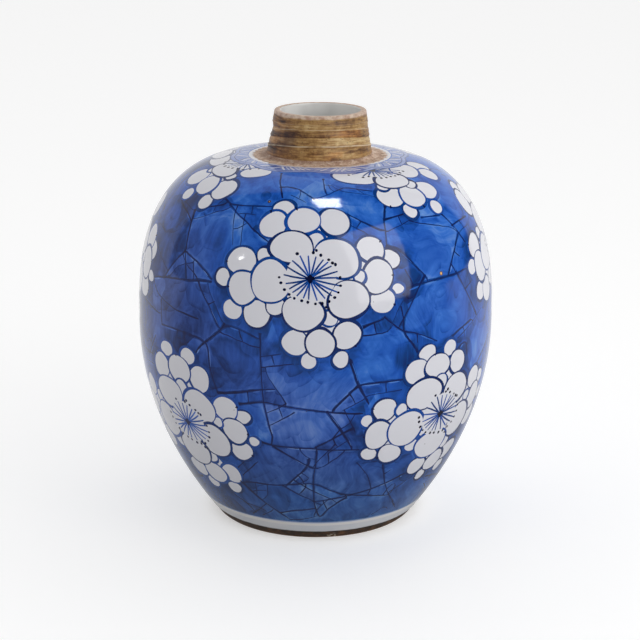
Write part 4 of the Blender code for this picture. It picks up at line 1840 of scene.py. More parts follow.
@dataclass(frozen=True)
class PlainGlaze:
    """White glaze without painting."""

    name: str = "white_glaze"
    colour: Colour = tint(228, 227, 224)
    shade: Colour = tint(206, 205, 203)
    roughness: float = 0.12
    pinhole: Colour = tint(70, 56, 48)
    refraction: float = 1.46

    def make(self) -> bpy.types.Material:
        """Wire the finish.

        Returns:
            The material.
        """
        finish = Finish(self.name)
        bench = finish.bench
        place = bench.place()
        ripple = finish.effect("ripple", Vector=place)
        cloud = bench.between(bench.noise(place, 60.0, 3.0), 0.35, 0.7)
        colour = bench.mix(cloud, self.colour, self.shade)
        colour = bench.mix(ripple.outputs["Pinholes"], colour, self.pinhole)
        finish.set("Base Color", colour)
        haze = bench.noise(place, 500.0, 2.0)
        finish.set("Roughness", bench.between(haze, 0.3, 0.7, self.roughness, self.roughness + 0.06))
        finish.set("Normal", bench.bump(ripple.outputs["Height"], 0.0002, 0.6))
        finish.set("IOR", self.refraction)
        return finish.material


@dataclass(frozen=True)
class IronNeck:
    """Bare neck clay washed with iron brown, streaked along its throwing lines."""

    # Colours by how thin the wash is, then those of its parts, with the painted shade at the neck's foot
    stops: Stops = (
        (0.26, tint(50, 28, 18)), (0.37, tint(98, 64, 34)), (0.50, tint(146, 108, 60)),
        (0.62, tint(177, 139, 84)), (0.80, tint(210, 182, 130)),
    )
    orange_cast: Colour = (1.18, 0.86, 0.55)
    plum_cast: Colour = (0.98, 0.80, 0.92)
    grit: Colour = tint(40, 26, 18)
    speck: Colour = tint(34, 22, 18)
    ridge_top_pale: Colour = tint(220, 200, 168)
    scorched: Colour = tint(66, 44, 44)
    shade_at_neck_foot: Colour = tint(84, 46, 30)
    lip_dark: Colour = tint(184, 146, 126)
    lip_pale: Colour = tint(220, 200, 180)
    roughness: float = 0.46
    refraction: float = 1.45
    # How steeply the throwing lines rise towards the front, and the levels where they level out
    tilt: float = 0.125
    level_out: tuple[float, float] = (0.1635, 0.1590)
    # Pale lines along the tops of raised throwing lines: level, half width, strength
    pale_lines: tuple[tuple[float, float, float], ...] = (
        (0.15106, 0.00034, 0.75), (0.15756, 0.00024, 0.55), (0.1605, 0.0002, 0.35),
    )

    @staticmethod
    def zones() -> Stops:
        """How dark the neck is from its foot, at 0, to its lip, at 1: bands of the wash, and a painted shadow
        in the groove at 0.432.

        Returns:
            Stops of grey.
        """
        # The dip to 0.16 at 0.432 is a painted shadow in the groove of the throwing line at 154.3 mm
        shades = (
            (0.0, 0.44), (0.14, 0.40), (0.25, 0.46), (0.30, 0.58), (0.41, 0.60), (0.432, 0.16), (0.455, 0.34),
            (0.59, 0.40), (0.63, 0.56), (0.74, 0.48), (0.80, 0.56), (0.91, 0.34), (1.0, 0.50),
        )
        return tuple((position, (shade, shade, shade)) for position, shade in shades)

    def make(self) -> bpy.types.Material:
        """Wire the finish.

        Returns:
            The material.
        """
        finish = Finish("neck_clay")
        bench = finish.bench
        place = bench.place()
        across, depth, level = bench.split(place)
        grain = finish.effect("grain", Vector=place)
        drift = bench.times_plus(bench.noise(place, 60.0, 2.0), 0.0014, -0.0007)
        tilt = bench.times(depth, bench.between(level, *self.level_out, 0.0, self.tilt))
        height = bench.number("ADD", bench.number("ADD", level, drift), tilt)
        streaks = bench.noise(bench.stretched(place, (75.0, 75.0, 520.0)), 1.0, 4.0, 0.66, 0.4)
        fine = bench.noise(bench.stretched(place, (170.0, 170.0, 2400.0)), 1.0, 2.0, 0.5)
        mottle = bench.noise(place, 460.0, 4.0, 0.7)
        zones = bench.ramp(bench.between(height, 0.146, 0.165), self.zones())
        # Painted light and shade: the neck is lighter on its right, where the light falls, and darker on its
        # left
        right = bench.between(across, -0.008, 0.014)
        left = bench.between(across, -0.004, -0.017)
        middle_zone, upper_zone = (
            bench.times(bench.between(height, *rise), bench.between(height, *fall))
            for rise, fall in (((0.1512, 0.1518), (0.1543, 0.1539)), ((0.1542, 0.1547), (0.1576, 0.1570)))
        )
        tone = bench.times_plus(streaks, 0.95, bench.times_plus(mottle, 0.5, -0.23))
        tone = bench.times_plus(fine, 0.24, bench.number("SUBTRACT", tone, 0.06))
        tone = bench.times_plus(bench.number("SUBTRACT", bench.split(zones)[0], 0.5), 0.62, tone)
        # Painted light on the right and painted shade on the left of the neck
        tone = bench.times_plus(bench.times(right, middle_zone), 0.09, tone)
        tone = bench.times_plus(left, -0.07, tone)
        colour = bench.ramp(tone, self.stops)
        glow = bench.times(bench.between(bench.noise(place, 130.0, 2.0), 0.42, 0.60), right)
        lower_zone = bench.between(height, 0.1496, 0.1486)
        glow = bench.times(glow, bench.number("MAXIMUM", upper_zone, lower_zone))
        orange = bench.mix(1.0, colour, self.orange_cast, "MULTIPLY")
        colour = bench.tinge(colour, glow, 0.75, orange)
        # Plum tint on the left of the neck, which also darkens it as painted shade
        plum = bench.mix(1.0, colour, self.plum_cast, "MULTIPLY")
        colour = bench.tinge(colour, left, 0.7, plum)
        colour = bench.tinge(colour, grain.outputs["Grit"], 0.5, self.grit)
        specks = bench.spots(place, 420.0)
        chosen = bench.number("GREATER_THAN", bench.split(specks.outputs["Color"])[2], 0.80)
        black = bench.times(chosen, bench.between(specks.outputs["Distance"], 0.27, 0.13))
        black = bench.times(black, bench.between(level, 0.1600, 0.1630, 0.35, 1.0))
        colour = bench.mix(black, colour, self.speck)
        gaps = bench.between(bench.noise(place, 160.0, 2.0), 0.34, 0.52, 0.25, 1.0)
        for middle, half, strength in self.pale_lines:
            gap = bench.number("ABSOLUTE", bench.number("SUBTRACT", height, middle))
            line = bench.times(bench.between(gap, half, half * 0.3), strength)
            colour = bench.mix(bench.times(line, gaps), colour, self.ridge_top_pale)
        patch = self._patch(bench, place, (-0.0115, -0.0150, 0.1555), 0.0058)
        colour = bench.tinge(colour, patch, 0.62, self.scorched)
        # Painted shadow: darker at the foot of the neck, where it meets the ring
        foot = bench.between(level, 0.1492, 0.1476)
        colour = bench.tinge(colour, foot, 0.35, self.shade_at_neck_foot)
        worn = bench.times_plus(bench.noise(place, 220.0, 3.0), 0.0012, level)
        top = bench.between(worn, 0.1640, 0.1648)
        lip = bench.mix(bench.between(mottle, 0.35, 0.65), self.lip_dark, self.lip_pale)
        colour = bench.tinge(colour, top, 0.92, lip)
        finish.set("Base Color", colour)
        finish.set("Roughness", bench.between(mottle, 0.3, 0.75, self.roughness - 0.1, self.roughness + 0.2))
        relief = bench.times_plus(grain.outputs["Height"], 0.25, bench.times(fine, 1.1))
        finish.set("Normal", bench.bump(relief, 0.00022, 0.8))
        finish.set("IOR", self.refraction)
        return finish.material

    @staticmethod
    def _patch(bench: Bench, place: object, centre: tuple[float, float, float],
               radius: float) -> bpy.types.NodeSocket:
        """A soft ragged patch round a point, from 0 to 1.

        Args:
            bench: the finish's bench.
            place: where the point is, in metres.
            centre: the point, in metres.
            radius: in metres.

        Returns:
            The result's socket.
        """
        gap = bench.vector("DISTANCE", place, centre)
        gap = bench.times_plus(bench.noise(place, 240.0, 3.0), 0.006, gap)
        return bench.between(gap, radius + 0.0036, radius - 0.002)


@dataclass(frozen=True)
class BareRing:
    """Pinkish tan clay of the ring round the neck, flecked and a little worn, with painted shade beside the
    neck.
    """

    # Colours from the darkest to the most worn, then those of its grit and of the painted shade beside the
    # neck
    stops: Stops = (
        (0.38, tint(118, 80, 60)), (0.47, tint(176, 140, 116)), (0.56, tint(208, 178, 154)),
        (0.66, tint(240, 224, 208)),
    )
    grit: Colour = tint(70, 46, 36)
    shade_beside_neck: Colour = tint(108, 72, 50)
    roughness: float = 0.72

    def make(self) -> bpy.types.Material:
        """Wire the finish.

        Returns:
            The material.
        """
        finish = Finish("bare_ring")
        bench = finish.bench
        place = bench.place()
        grain = finish.effect("grain", Vector=place)
        out = bench.from_axis(place)
        rings = bench.band_noise(out, 900.0, 2.0)
        flecks = bench.noise(place, 1100.0, 3.0, 0.7)
        worn = bench.times_plus(flecks, 0.75, bench.times(rings, 0.25))
        mottled = bench.times_plus(grain.outputs["Cloud"], 0.5, bench.times(worn, 0.55))
        colour = bench.ramp(mottled, self.stops)
        colour = bench.tinge(colour, grain.outputs["Grit"], 0.5, self.grit)
        # Painted shadow: darker on the ring where it meets the neck
        near = bench.between(out, 0.0232, 0.0213)
        colour = bench.tinge(colour, near, 0.5, self.shade_beside_neck)
        finish.set("Base Color", colour)
        finish.set("Roughness", self.roughness)
        relief = bench.times_plus(grain.outputs["Height"], 0.4, worn)
        finish.set("Normal", bench.bump(relief, 0.0003, 0.8))
        return finish.material


@dataclass(frozen=True)
class FootFinish:
    """White glaze that stops short of the ground, and the brown bare clay below it."""

    # Colours of the bare clay from dark to pale, then those of its parts and of the glaze
    stops: Stops = ((0.3, tint(38, 25, 16)), (0.5, tint(68, 44, 25)), (0.7, tint(120, 82, 42)))
    grit: Colour = tint(24, 18, 16)
    singed_clay: Colour = tint(30, 21, 20)
    worn_clay: Colour = tint(142, 96, 46)
    broken_clay: Colour = tint(186, 172, 152)
    white: Colour = tint(229, 230, 233)
    white_shade: Colour = tint(219, 222, 228)
    glaze_level: float = 0.0039
    glazed_outside: float = 0.0372
    glazed_inside: float = 0.03515
    # Broken spots: centre and radius
    chips: tuple[tuple[tuple[float, float, float], float], ...] = (
        ((0.0070, -0.0396, 0.0011), 0.0030), ((-0.0300, 0.0266, 0.0009), 0.0018),
        ((0.0385, 0.0115, 0.0010), 0.0015),
    )

    def make(self) -> bpy.types.Material:
        """Wire the finish.

        Returns:
            The material.
        """
        finish = Finish("foot_clay")
        bench = finish.bench
        place = bench.place()
        level = bench.split(place)[2]
        grain = finish.effect("grain", Vector=place)
        ripple = finish.effect("ripple", Vector=place)
        ragged = bench.times_plus(bench.noise(place, 150.0, 3.0), 0.0009, -0.00045)
        height = bench.number("ADD", level, ragged)
        glazed = bench.between(height, self.glaze_level - 0.0001, self.glaze_level + 0.0001)
        out = bench.from_axis(place)
        outer = bench.number("GREATER_THAN", out, self.glazed_outside)
        under = bench.number("LESS_THAN", out, self.glazed_inside)
        glazed = bench.number("MAXIMUM", bench.times(glazed, outer), under)
        clay = bench.ramp(bench.times_plus(grain.outputs["Cloud"], 0.8, 0.08), self.stops)
        clay = bench.tinge(clay, grain.outputs["Grit"], 0.5, self.grit)
        singed = bench.between(height, self.glaze_level - 0.0013, self.glaze_level - 0.0002)
        clay = bench.tinge(clay, singed, 0.65, self.singed_clay)
        worn = bench.times(bench.between(level, 0.0012, 0.0003), outer)
        clay = bench.tinge(clay, worn, 0.55, self.worn_clay)
        clay = bench.mix(self._chipped(bench, place), clay, self.broken_clay)
        cloud = bench.between(bench.noise(place, 80.0, 2.0), 0.35, 0.7)
        white = bench.mix(cloud, self.white, self.white_shade)
        colour = bench.mix(glazed, clay, white)
        finish.set("Base Color", colour)
        finish.set("Roughness", bench.between(glazed, 0.0, 1.0, 0.68, 0.13))
        rough = bench.times(grain.outputs["Height"], bench.number("SUBTRACT", 1.0, glazed))
        relief = bench.times_plus(glazed, 0.9, rough)
        relief = bench.times_plus(ripple.outputs["Height"], 0.25, relief)
        finish.set("Normal", bench.bump(relief, 0.00025, 0.8))
        return finish.material

    def _chipped(self, bench: Bench, place: object) -> bpy.types.NodeSocket:
        """Pale broken spots on the edge of the foot, the largest at the front.

        Args:
            bench: the finish's bench.
            place: where the point is, in metres.

        Returns:
            The socket of their mask.
        """
        patches = 0.0
        for centre, radius in self.chips:
            gap = bench.vector("DISTANCE", place, centre)
            patches = bench.number("MAXIMUM", patches, bench.between(gap, radius, radius * 0.5))
        broken = bench.between(bench.noise(place, 900.0, 3.0), 0.50, 0.58)
        return bench.times(patches, broken)


@dataclass(frozen=True)
class SlipFinish:
    """Smeared slip on the seams inside the jar."""

    name: str = "slip_inside"
    colour: Colour = tint(206, 204, 196)
    shade: Colour = tint(176, 172, 160)
    grit: Colour = tint(96, 78, 62)

    def make(self) -> bpy.types.Material:
        """Wire the finish.

        Returns:
            The material.
        """
        finish = Finish(self.name)
        bench = finish.bench
        place = bench.place()
        grain = finish.effect("grain", Vector=place, Size=0.6)
        smear = bench.noise(bench.stretched(place, (40.0, 40.0, 260.0)), 1.0, 3.0)
        colour = bench.mix(bench.between(smear, 0.35, 0.65), self.colour, self.shade)
        colour = bench.tinge(colour, grain.outputs["Grit"], 0.35, self.grit)
        finish.set("Base Color", colour)
        finish.set("Roughness", bench.between(smear, 0.3, 0.7, 0.3, 0.5))
        finish.set("Normal", bench.bump(grain.outputs["Height"], 0.00015, 0.6))
        return finish.material


class Shape:
    """Mesh code that the turned pieces share."""

    # Degrees by which an edge turns before it is shaded as a corner
    corner = 38.0

    @staticmethod
    def piece(name: str, mesh: bmesh.types.BMesh, materials: list[bpy.types.Material], node: str,
              slot: str) -> bpy.types.Object:
        """Finish a piece: make its object and tie it to the frame.

        Args:
            name: the object's name.
            mesh: its mesh, which is used up.
            materials: its finishes, in slot order.
            node: the frame's solid that it stands for.
            slot: the record's material slot; not used.

        Returns:
            The object.
        """
        data = bpy.data.meshes.new(name)
        mesh.to_mesh(data)
        mesh.free()
        for material in materials:
            data.materials.append(material)
        made = bpy.data.objects.new(name, data)
        bpy.context.scene.collection.objects.link(made)
        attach(made, "root")
        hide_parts(node)
        log.info("%s: %d faces", name, len(data.polygons))
        return made

    @staticmethod
    def turn(profile: list[Place], steps: int) -> bmesh.types.BMesh:
        """A ring turned from a closed profile.

        Args:
            profile: (radius, level) points in millimetres, down the outside and up the inside.
            steps: how many steps go round.

        Returns:
            The mesh, in metres, with its faces outwards and its corners left sharp.
        """
        mesh = bmesh.new()
        points = [mesh.verts.new((radius * MM, 0.0, level * MM)) for radius, level in profile]
        edges = [mesh.edges.new((points[index - 1], points[index])) for index in range(len(points))]
        bmesh.ops.spin(mesh, geom=points + edges, cent=(0, 0, 0), axis=(0, 0, 1), angle=math.tau,
                       steps=steps, use_merge=True)
        bmesh.ops.remove_doubles(mesh, verts=mesh.verts, dist=0.000001)
        bmesh.ops.recalc_face_normals(mesh, faces=mesh.faces)
        Shape.smooth(mesh)
        return mesh

    @classmethod
    def smooth(cls, mesh: bmesh.types.BMesh) -> None:
        """Shade a mesh smooth, but for edges that turn by more than a corner does.

        Args:
            mesh: the mesh, which is changed.
        """
        for face in mesh.faces:
            face.smooth = True
        for edge in mesh.edges:
            if len(edge.link_faces) == 2:
                edge.smooth = edge.calc_face_angle() < math.radians(cls.corner)


@dataclass
class PaintedBody:
    """The two thrown halves of the body, with the painting cut into their outer skin."""

    outline: JarOutline = field(default_factory=lambda: OUTLINE)
    point_spacing: float = 2.2
    quick_spacing: float = 3.2
    hole_radius: float = 17.8
    rebate_radius: float = 21.4
    rebate_depth: float = 0.6
    inner_points: int = 12
    seam_reach: float = 0.5
    seed: int = 41
    # The flat map: half its width, then start, height and step to the back half, of skin and inside
    map_reach: float = 0.49
    map_skin: tuple[float, float, float] = (0.005, 0.435, 0.45)
    map_inside: tuple[float, float, float] = (0.905, 0.04, 0.047)
    map_slope: float = 2.2

    def build(self, painted: bpy.types.Material, bare: bpy.types.Material,
              white: bpy.types.Material) -> list[bpy.types.Object]:
        """Paint the skin and close each half.

        Args:
            painted: finish of the painted skin.
            bare: finish of the ring round the neck.
            white: finish of the inside.

        Returns:
            The upper and the lower half.
        """
        canvas = Canvas(self.outline, self.seed)
        Painter(canvas).paint()
        skin = canvas.cut_out(self.point_spacing)
        Plates(skin, self.seed + 1).tone()
        log.info("painted skin: %d touches, %d faces", len(canvas.loops), len(skin.faces))
        levels = skin.points[skin.faces].mean(axis=1)[:, 2]
        seam = self.outline.belly_level
        made = []
        for name, node, chosen, upper in (
            ("painted_upper_body", "upper_body", levels > seam, True),
            ("painted_lower_body", "lower_body", levels < seam, False),
        ):
            mesh = self._half(skin, chosen, upper)
            piece = Shape.piece(name, mesh, [painted, bare, white], node, "painted_glaze")
            self._dress(piece.data, skin, chosen)
            made.append(piece)
        return made

    def _half(self, skin: Skin, chosen: np.ndarray, upper: bool) -> bmesh.types.BMesh:
        """One half as a closed shell, its painted faces first.

        Args:
            skin: the whole painted skin.
            chosen: which of its faces belong to this half.
            upper: whether it is the upper half.

        Returns:
            The mesh, in metres.
        """
        mesh = bmesh.new()
        faces = skin.faces[chosen]
        used, faces = np.unique(faces, return_inverse=True)
        points = [mesh.verts.new(point) for point in (skin.points[used] * MM).tolist()]
        clay = skin.clay[chosen]
        for corners, bare in zip(faces.reshape(-1, 3).tolist(), clay.tolist()):
            face = mesh.faces.new([points[corner] for corner in corners])
            face.material_index = int(bare)
        mesh.verts.index_update()
        seam = self.outline.belly_level
        rims = [edge for edge in mesh.edges if edge.is_boundary]
        reach = self.seam_reach * MM
        belly = [edge for edge in rims if all(abs(vert.co.z - seam * MM) < reach for vert in edge.verts)]
        near = set(belly)
        far = [edge for edge in rims if edge not in near]
        if upper:
            seat = self.outline.seat_level
            rebate, under = seat - self.rebate_depth, seat - self.outline.wall
            steps = [(self.rebate_radius, seat, 1), (self.rebate_radius, rebate, 1),
                     (self.hole_radius, rebate, 1), (self.hole_radius, under, 2)]
            inside = self.outline.inside(seam, under, self.inner_points)[-2::-1]
        else:
            steps = []
            inside = self.outline.inside(self.outline.foot_joint_level, seam, self.inner_points)
        steps += [(radius, level, 2) for radius, level in inside]
        loop = far
        for radius, level, material in steps[:-1]:
            loop = self._ring(mesh, loop, radius, level, material)
        inner_radius, inner_level, _ = steps[-1]
        wall_ring = self._ring(mesh, belly, inner_radius, inner_level, 2)
        bridge = bmesh.ops.bridge_loops(mesh, edges=loop + wall_ring)
        for face in bridge["faces"]:
            face.material_index = 2
        bmesh.ops.triangulate(mesh, faces=[face for face in mesh.faces if len(face.verts) > 4])
        bmesh.ops.recalc_face_normals(mesh, faces=mesh.faces)
        Shape.smooth(mesh)
        return mesh

    @staticmethod
    def _ring(mesh: bmesh.types.BMesh, loop: list[bmesh.types.BMEdge], radius: float, level: float,
              material: int) -> list[bmesh.types.BMEdge]:
        """Extrude a loop of edges to a new radius and level.

        Args:
            mesh: the mesh, which is changed.
            loop: the edges to extrude.
            radius: in millimetres.
            level: in millimetres.
            material: the new faces' material slot.

        Returns:
            The new loop's edges.
        """
        grown = bmesh.ops.extrude_edge_only(mesh, edges=loop)["geom"]
        for part in grown:
            if isinstance(part, bmesh.types.BMVert):
                flat = math.hypot(part.co.x, part.co.y)
                part.co = (part.co.x / flat * radius * MM, part.co.y / flat * radius * MM, level * MM)
            elif isinstance(part, bmesh.types.BMFace):
                part.material_index = material
        return [part for part in grown if isinstance(part, bmesh.types.BMEdge) and part.is_boundary]

    def _dress(self, data: bpy.types.Mesh, skin: Skin, chosen: np.ndarray) -> None:
        """Give a half its paint attributes, its map and its exact normals.

        Args:
            data: the half's mesh.
            skin: the whole painted skin.
            chosen: which of its faces belong to the half.
        """
        faces = skin.faces[chosen]
        count = len(faces) * 3
        total = len(data.loops)
        per_corner = {
            name: np.repeat(getattr(skin, name)[chosen], 3) for name in ("cobalt", "wash", "iron", "violet")
        }
        per_corner["rim"] = skin.rim[chosen].ravel()
        per_corner["pool"] = skin.pool[faces].ravel()
        per_corner["mist"] = skin.mist[faces].ravel()
        for name, values in per_corner.items():
            layer = data.attributes.new(name, "FLOAT", "CORNER")
            full = np.zeros(total, np.float32)
            full[:count] = values
            layer.data.foreach_set("value", full)
        self._map(data, len(faces))
        normals = np.zeros((total, 3))
        normals[:count] = skin.normals[faces].reshape(-1, 3)
        data.normals_split_custom_set(normals.tolist())

    def _map(self, data: bpy.types.Mesh, painted_faces: int) -> None:
        """Lay the skin out flat: the front half, the back half, and the inside in a strip above.

        Args:
            data: the half's mesh.
            painted_faces: how many of its faces, from the first, are painted.
        """
        places = np.zeros(len(data.vertices) * 3)
        data.vertices.foreach_get("co", places)
        places = places.reshape(-1, 3) / MM
        turn = np.arctan2(places[:, 0], -places[:, 1])
        elevation = np.arctan2(places[:, 2] - self.outline.core_level, np.hypot(places[:, 0], places[:, 1]))
        along = np.interp(elevation, self.outline.elevation, self.outline.along)
        corners = np.zeros(len(data.loops), np.int32)
        data.loops.foreach_get("vertex_index", corners)
        starts = np.zeros(len(data.polygons), np.int32)
        data.polygons.foreach_get("loop_start", starts)
        sizes = np.zeros(len(data.polygons), np.int32)
        data.polygons.foreach_get("loop_total", sizes)
        owner = np.repeat(np.arange(len(starts)), sizes)
        front = np.add.reduceat(np.cos(turn[corners]), starts) > 0
        turns = turn[corners]
        behind = ~front[owner]
        turns = np.where(behind, np.mod(turns, math.tau) - math.pi, turns)
        outer = owner < painted_faces
        span = along[corners[outer]]
        low, high = span.min(), span.max()
        radius = np.hypot(places[corners][:, 0], places[corners][:, 1])
        rise = places[corners][:, 2] + self.map_slope * radius
        start, tall, step = self.map_skin
        v_outer = start + (along[corners] - low) / (high - low) * tall + np.where(behind, step, 0.0)
        start, tall, step = self.map_inside
        share = (rise - rise.min()) / (rise.max() - rise.min())
        v_inner = start + share * tall + np.where(behind, step, 0.0)
        u = 0.5 + turns / math.pi * self.map_reach
        laid = data.uv_layers.new(name="OFBake")
        laid.data.foreach_set("uv", np.column_stack([u, np.where(outer, v_outer, v_inner)]).ravel())


@dataclass
class NeckCollar:
    """The short brown neck, with its throwing lines and worn lip."""

    mouth_radius: float = 15.8
    spigot_radius: float = 16.5
    side_levels: tuple[float, ...] = (146.6, 148.0, 151.0, 154.4, 158.6, 161.6, 164.3)
    side_radii: tuple[float, ...] = (21.0, 20.85, 20.35, 19.6, 18.95, 18.65, 18.2)
    skirt_top: float = 148.1
    off_middle: float = 1.2
    lean: float = 0.34
    base_level: float = 146.6
    rim_level: float = 165.0
    lip_round: float = 0.7
    spigot_level: float = 141.1
    ridges: int = 62
    tilt: float = 0.125
    seed: int = 7
    around: int = 192
    # The lip's inner edge and the skirt of slip: radius past the mouth's and drop, radius and level
    lip_inside: tuple[Place, ...] = ((0.45, 0.0), (0.16, 0.12), (0.04, 0.34), (0.0, 0.7))
    skirt: tuple[Place, ...] = (
        (21.35, 147.75), (21.9, 147.35), (22.7, 147.12), (23.6, 147.0), (24.1, 146.93), (23.9, 146.91),
        (21.2, 146.91),
    )
    bore_levels: tuple[int, ...] = (162, 159, 156, 153, 150, 147, 144)
    # Throwing lines: level, how far they stand out, half width
    throwing_lines: tuple[tuple[float, float, float], ...] = (
        (151.06, 0.24, 0.42), (150.1, -0.13, 0.6), (152.1, -0.10, 0.6), (154.26, -0.20, 0.35),
        (155.2, 0.12, 0.7), (157.56, 0.15, 0.30), (158.3, -0.08, 0.5), (160.5, 0.10, 0.30),
        (162.4, -0.10, 0.6),
    )
    # They level out between these levels, and fade within this height of the skirt and of the lip
    level_out: Place = (163.5, 159.0)
    fade_height: float = 0.8
    # The hollow at the left: depth, level, half height, and how far left of the axis it is full
    hollow_depth: float = 0.55
    hollow_level: float = 157.6
    hollow_reach: float = 1.9
    hollow_side: float = 19.0
    # The neck bends off the axis from one level, within some height, and leans from another
    bends_from: float = 144.0
    bends_within: float = 2.5
    leans_from: float = 147.0
    leans_within: float = 18.0
    # Unevenness of the side: how much carries over from one ridge to the next, and how much is new
    drift_kept: float = 0.55
    drift_new: float = 0.04
    # Past the mouth's radius: as far as the glaze goes, and where the outside begins
    glazed_past: float = 0.3
    outside_past: float = 1.4

    def profile(self) -> list[Place]:
        """The closed profile, down the outside and up the inside.

        Returns:
            Radii and levels in millimetres.
        """
        hand = random.Random(self.seed)
        side_top = self.rim_level - self.lip_round
        outer = []
        drift = 0.0
        for index in range(self.ridges + 1):
            share = index / self.ridges
            level = side_top + (self.skirt_top - side_top) * share
            side = float(np.interp(level, self.side_levels, self.side_radii))
            drift = drift * self.drift_kept + hand.gauss(0, self.drift_new)
            fade = min(1.0, share * 14, (1 - share) * 10)
            outer.append((side + drift * fade, level))
        lip = []
        for index in range(1, 6):
            angle = math.pi / 2 * index / 5
            lip.append((self.side_radii[-1] - self.lip_round * (1 - math.cos(angle)),
                        side_top + self.lip_round * math.sin(angle)))
        inner = [(self.mouth_radius + past, self.rim_level - drop) for past, drop in self.lip_inside]
        bore = [(self.mouth_radius + 0.05 * math.sin(level * 1.3), level) for level in self.bore_levels]
        spigot = [(self.spigot_radius, self.base_level), (self.spigot_radius, self.spigot_level),
                  (self.mouth_radius, self.spigot_level)]
        return lip[::-1] + outer + list(self.skirt) + spigot + bore[::-1] + inner[::-1]

    def _relief(self, level: float, across: float, depth: float) -> float:
        """How far the throwing lines stand out at a place of the neck.

        Args:
            level: of the place, in millimetres above the ground.
            across: how far it lies to the right of the neck's axis, in millimetres.
            depth: how far it lies behind that axis, in millimetres.

        Returns:
            The relief in millimetres.
        """
        top, bottom = self.level_out
        lean = self.tilt * min(1.0, max(0.0, (top - level) / (top - bottom)))
        height = level + lean * depth
        relief = 0.0
        for middle, tall, wide in self.throwing_lines:
            relief += tall * math.exp(-((height - middle) / wide) ** 2)
        to_the_left = max(0.0, -across / self.hollow_side) ** 2
        near = math.exp(-((level - self.hollow_level) / self.hollow_reach) ** 2)
        relief -= self.hollow_depth * to_the_left * near
        below_lip = self.rim_level - self.lip_round - level
        above_skirt = level - self.skirt_top
        return relief * min(1.0, above_skirt / self.fade_height, below_lip / self.fade_height)

    def build(self, clay: bpy.types.Material, white: bpy.types.Material,
              bare: bpy.types.Material) -> bpy.types.Object:
        """Turn the neck, brown outside and glazed inside.

        Args:
            clay: finish of the outside.
            white: finish of the bore.
            bare: finish of the skirt of slip that runs out over the seat.

        Returns:
            The piece.
        """
        mesh = Shape.turn(self.profile(), self.around)
        for face in mesh.faces:
            middle = face.calc_center_median()
            out = math.hypot(middle.x, middle.y) / MM
            skirt = out > self.side_radii[0] - 0.1 and middle.z < self.skirt_top * MM
            glazed = out < self.mouth_radius + self.glazed_past
            face.material_index = 1 if glazed else 2 if skirt else 0
        side_top = self.rim_level - self.lip_round
        for vert in mesh.verts:
            level = vert.co.z / MM
            out = math.hypot(vert.co.x, vert.co.y) / MM
            if out > self.mouth_radius + self.outside_past and self.skirt_top < level < side_top:
                grown = (out + self._relief(level, vert.co.x / MM, vert.co.y / MM)) / out
                vert.co.x, vert.co.y = vert.co.x * grown, vert.co.y * grown
            share = min(1.0, max(0.0, (level - self.bends_from) / self.bends_within))
            lean = self.lean * max(0.0, level - self.leans_from) / self.leans_within
            vert.co.x += (self.off_middle * share + lean) * MM
        return Shape.piece("throwing_lined_neck", mesh, [clay, white, bare], "neck", "neck_clay")


@dataclass
class FootRing:
    """The turned foot, glazed down to a line above the ground."""

    outline: JarOutline = field(default_factory=lambda: OUTLINE)
    contact_width: float = 5.2
    recess: float = 3.2
    draft: float = 0.5
    ledge_width: float = 2.2
    inner_top: float = 7.3
    # Levels of the outside: under the glaze, at its edge, and the bare clay that stands back from it
    glazed_levels: tuple[float, ...] = (7.45, 7.0, 6.5, 6.0, 5.5, 5.0, 4.5)
    glaze_edge_level: float = 4.36
    glaze_edge_inset: float = 0.05
    bare_levels: tuple[float, ...] = (4.22, 3.2, 2.1, 0.9)
    bare_inset: float = 0.16
    # The rounded toe: how far in from the foot's radius, and level
    toe: tuple[Place, ...] = ((0.12, 0.45), (0.32, 0.18), (0.6, 0.03), (1.1, 0.0))
    # The part of the outside that is shaded as the body is: above this level, beyond this radius
    body_shaded_above: float = 4.45
    body_shaded_beyond: float = 38.5
    # A face whose normal rises by more than this keeps its own flat shading
    looks_up: float = 0.7

    def profile(self) -> list[Place]:
        """The closed profile, down the outside and up the inside.

        Returns:
            Radii and levels in millimetres.
        """
        outline = self.outline
        outer, bare = (
            [(float(np.interp(level, outline.level, outline.radius)) - inset, level) for level in levels]
            for levels, inset in ((self.glazed_levels, 0.0), (self.bare_levels, self.bare_inset))
        )
        glaze_edge = [(outer[-1][0] - self.glaze_edge_inset, self.glaze_edge_level)]
        edge = outline.foot_radius
        toe = [(edge - inset, level) for inset, level in self.toe]
        inner_radius = edge - self.contact_width
        ledge = inner_radius + self.draft + self.ledge_width
        inner = [(inner_radius + 0.25, 0.0), (inner_radius, 0.25), (inner_radius + 0.3, 1.9),
                 (inner_radius + self.draft, self.recess), (ledge, self.recess), (ledge, self.inner_top),
                 (ledge + 0.1, self.inner_top)]
        return outer + glaze_edge + bare + toe + inner

    def build(self, finish: bpy.types.Material) -> bpy.types.Object:
        """Turn the foot and make its upper edge shade as the body does.

        Args:
            finish: its finish.

        Returns:
            The piece.
        """
        mesh = Shape.turn(self.profile(), AROUND)
        piece = Shape.piece("turned_foot_ring", mesh, [finish], "foot_ring", "foot_clay")
        data = piece.data
        normals = [(0.0, 0.0, 0.0)] * len(data.loops)
        for loop in data.loops:
            place = data.vertices[loop.vertex_index].co
            outside = math.hypot(place.x, place.y) > self.body_shaded_beyond * MM
            if place.z > self.body_shaded_above * MM and outside:
                spot = np.array([[place.x / MM, place.y / MM, place.z / MM - self.outline.core_level]])
                _, normal = self.outline.surface(spot / np.linalg.norm(spot))
                normals[loop.index] = tuple(normal[0])
        for polygon in data.polygons:
            if polygon.normal.z > self.looks_up:
                for index in polygon.loop_indices:
                    normals[index] = (0.0, 0.0, 0.0)
        data.normals_split_custom_set(normals)
        return piece


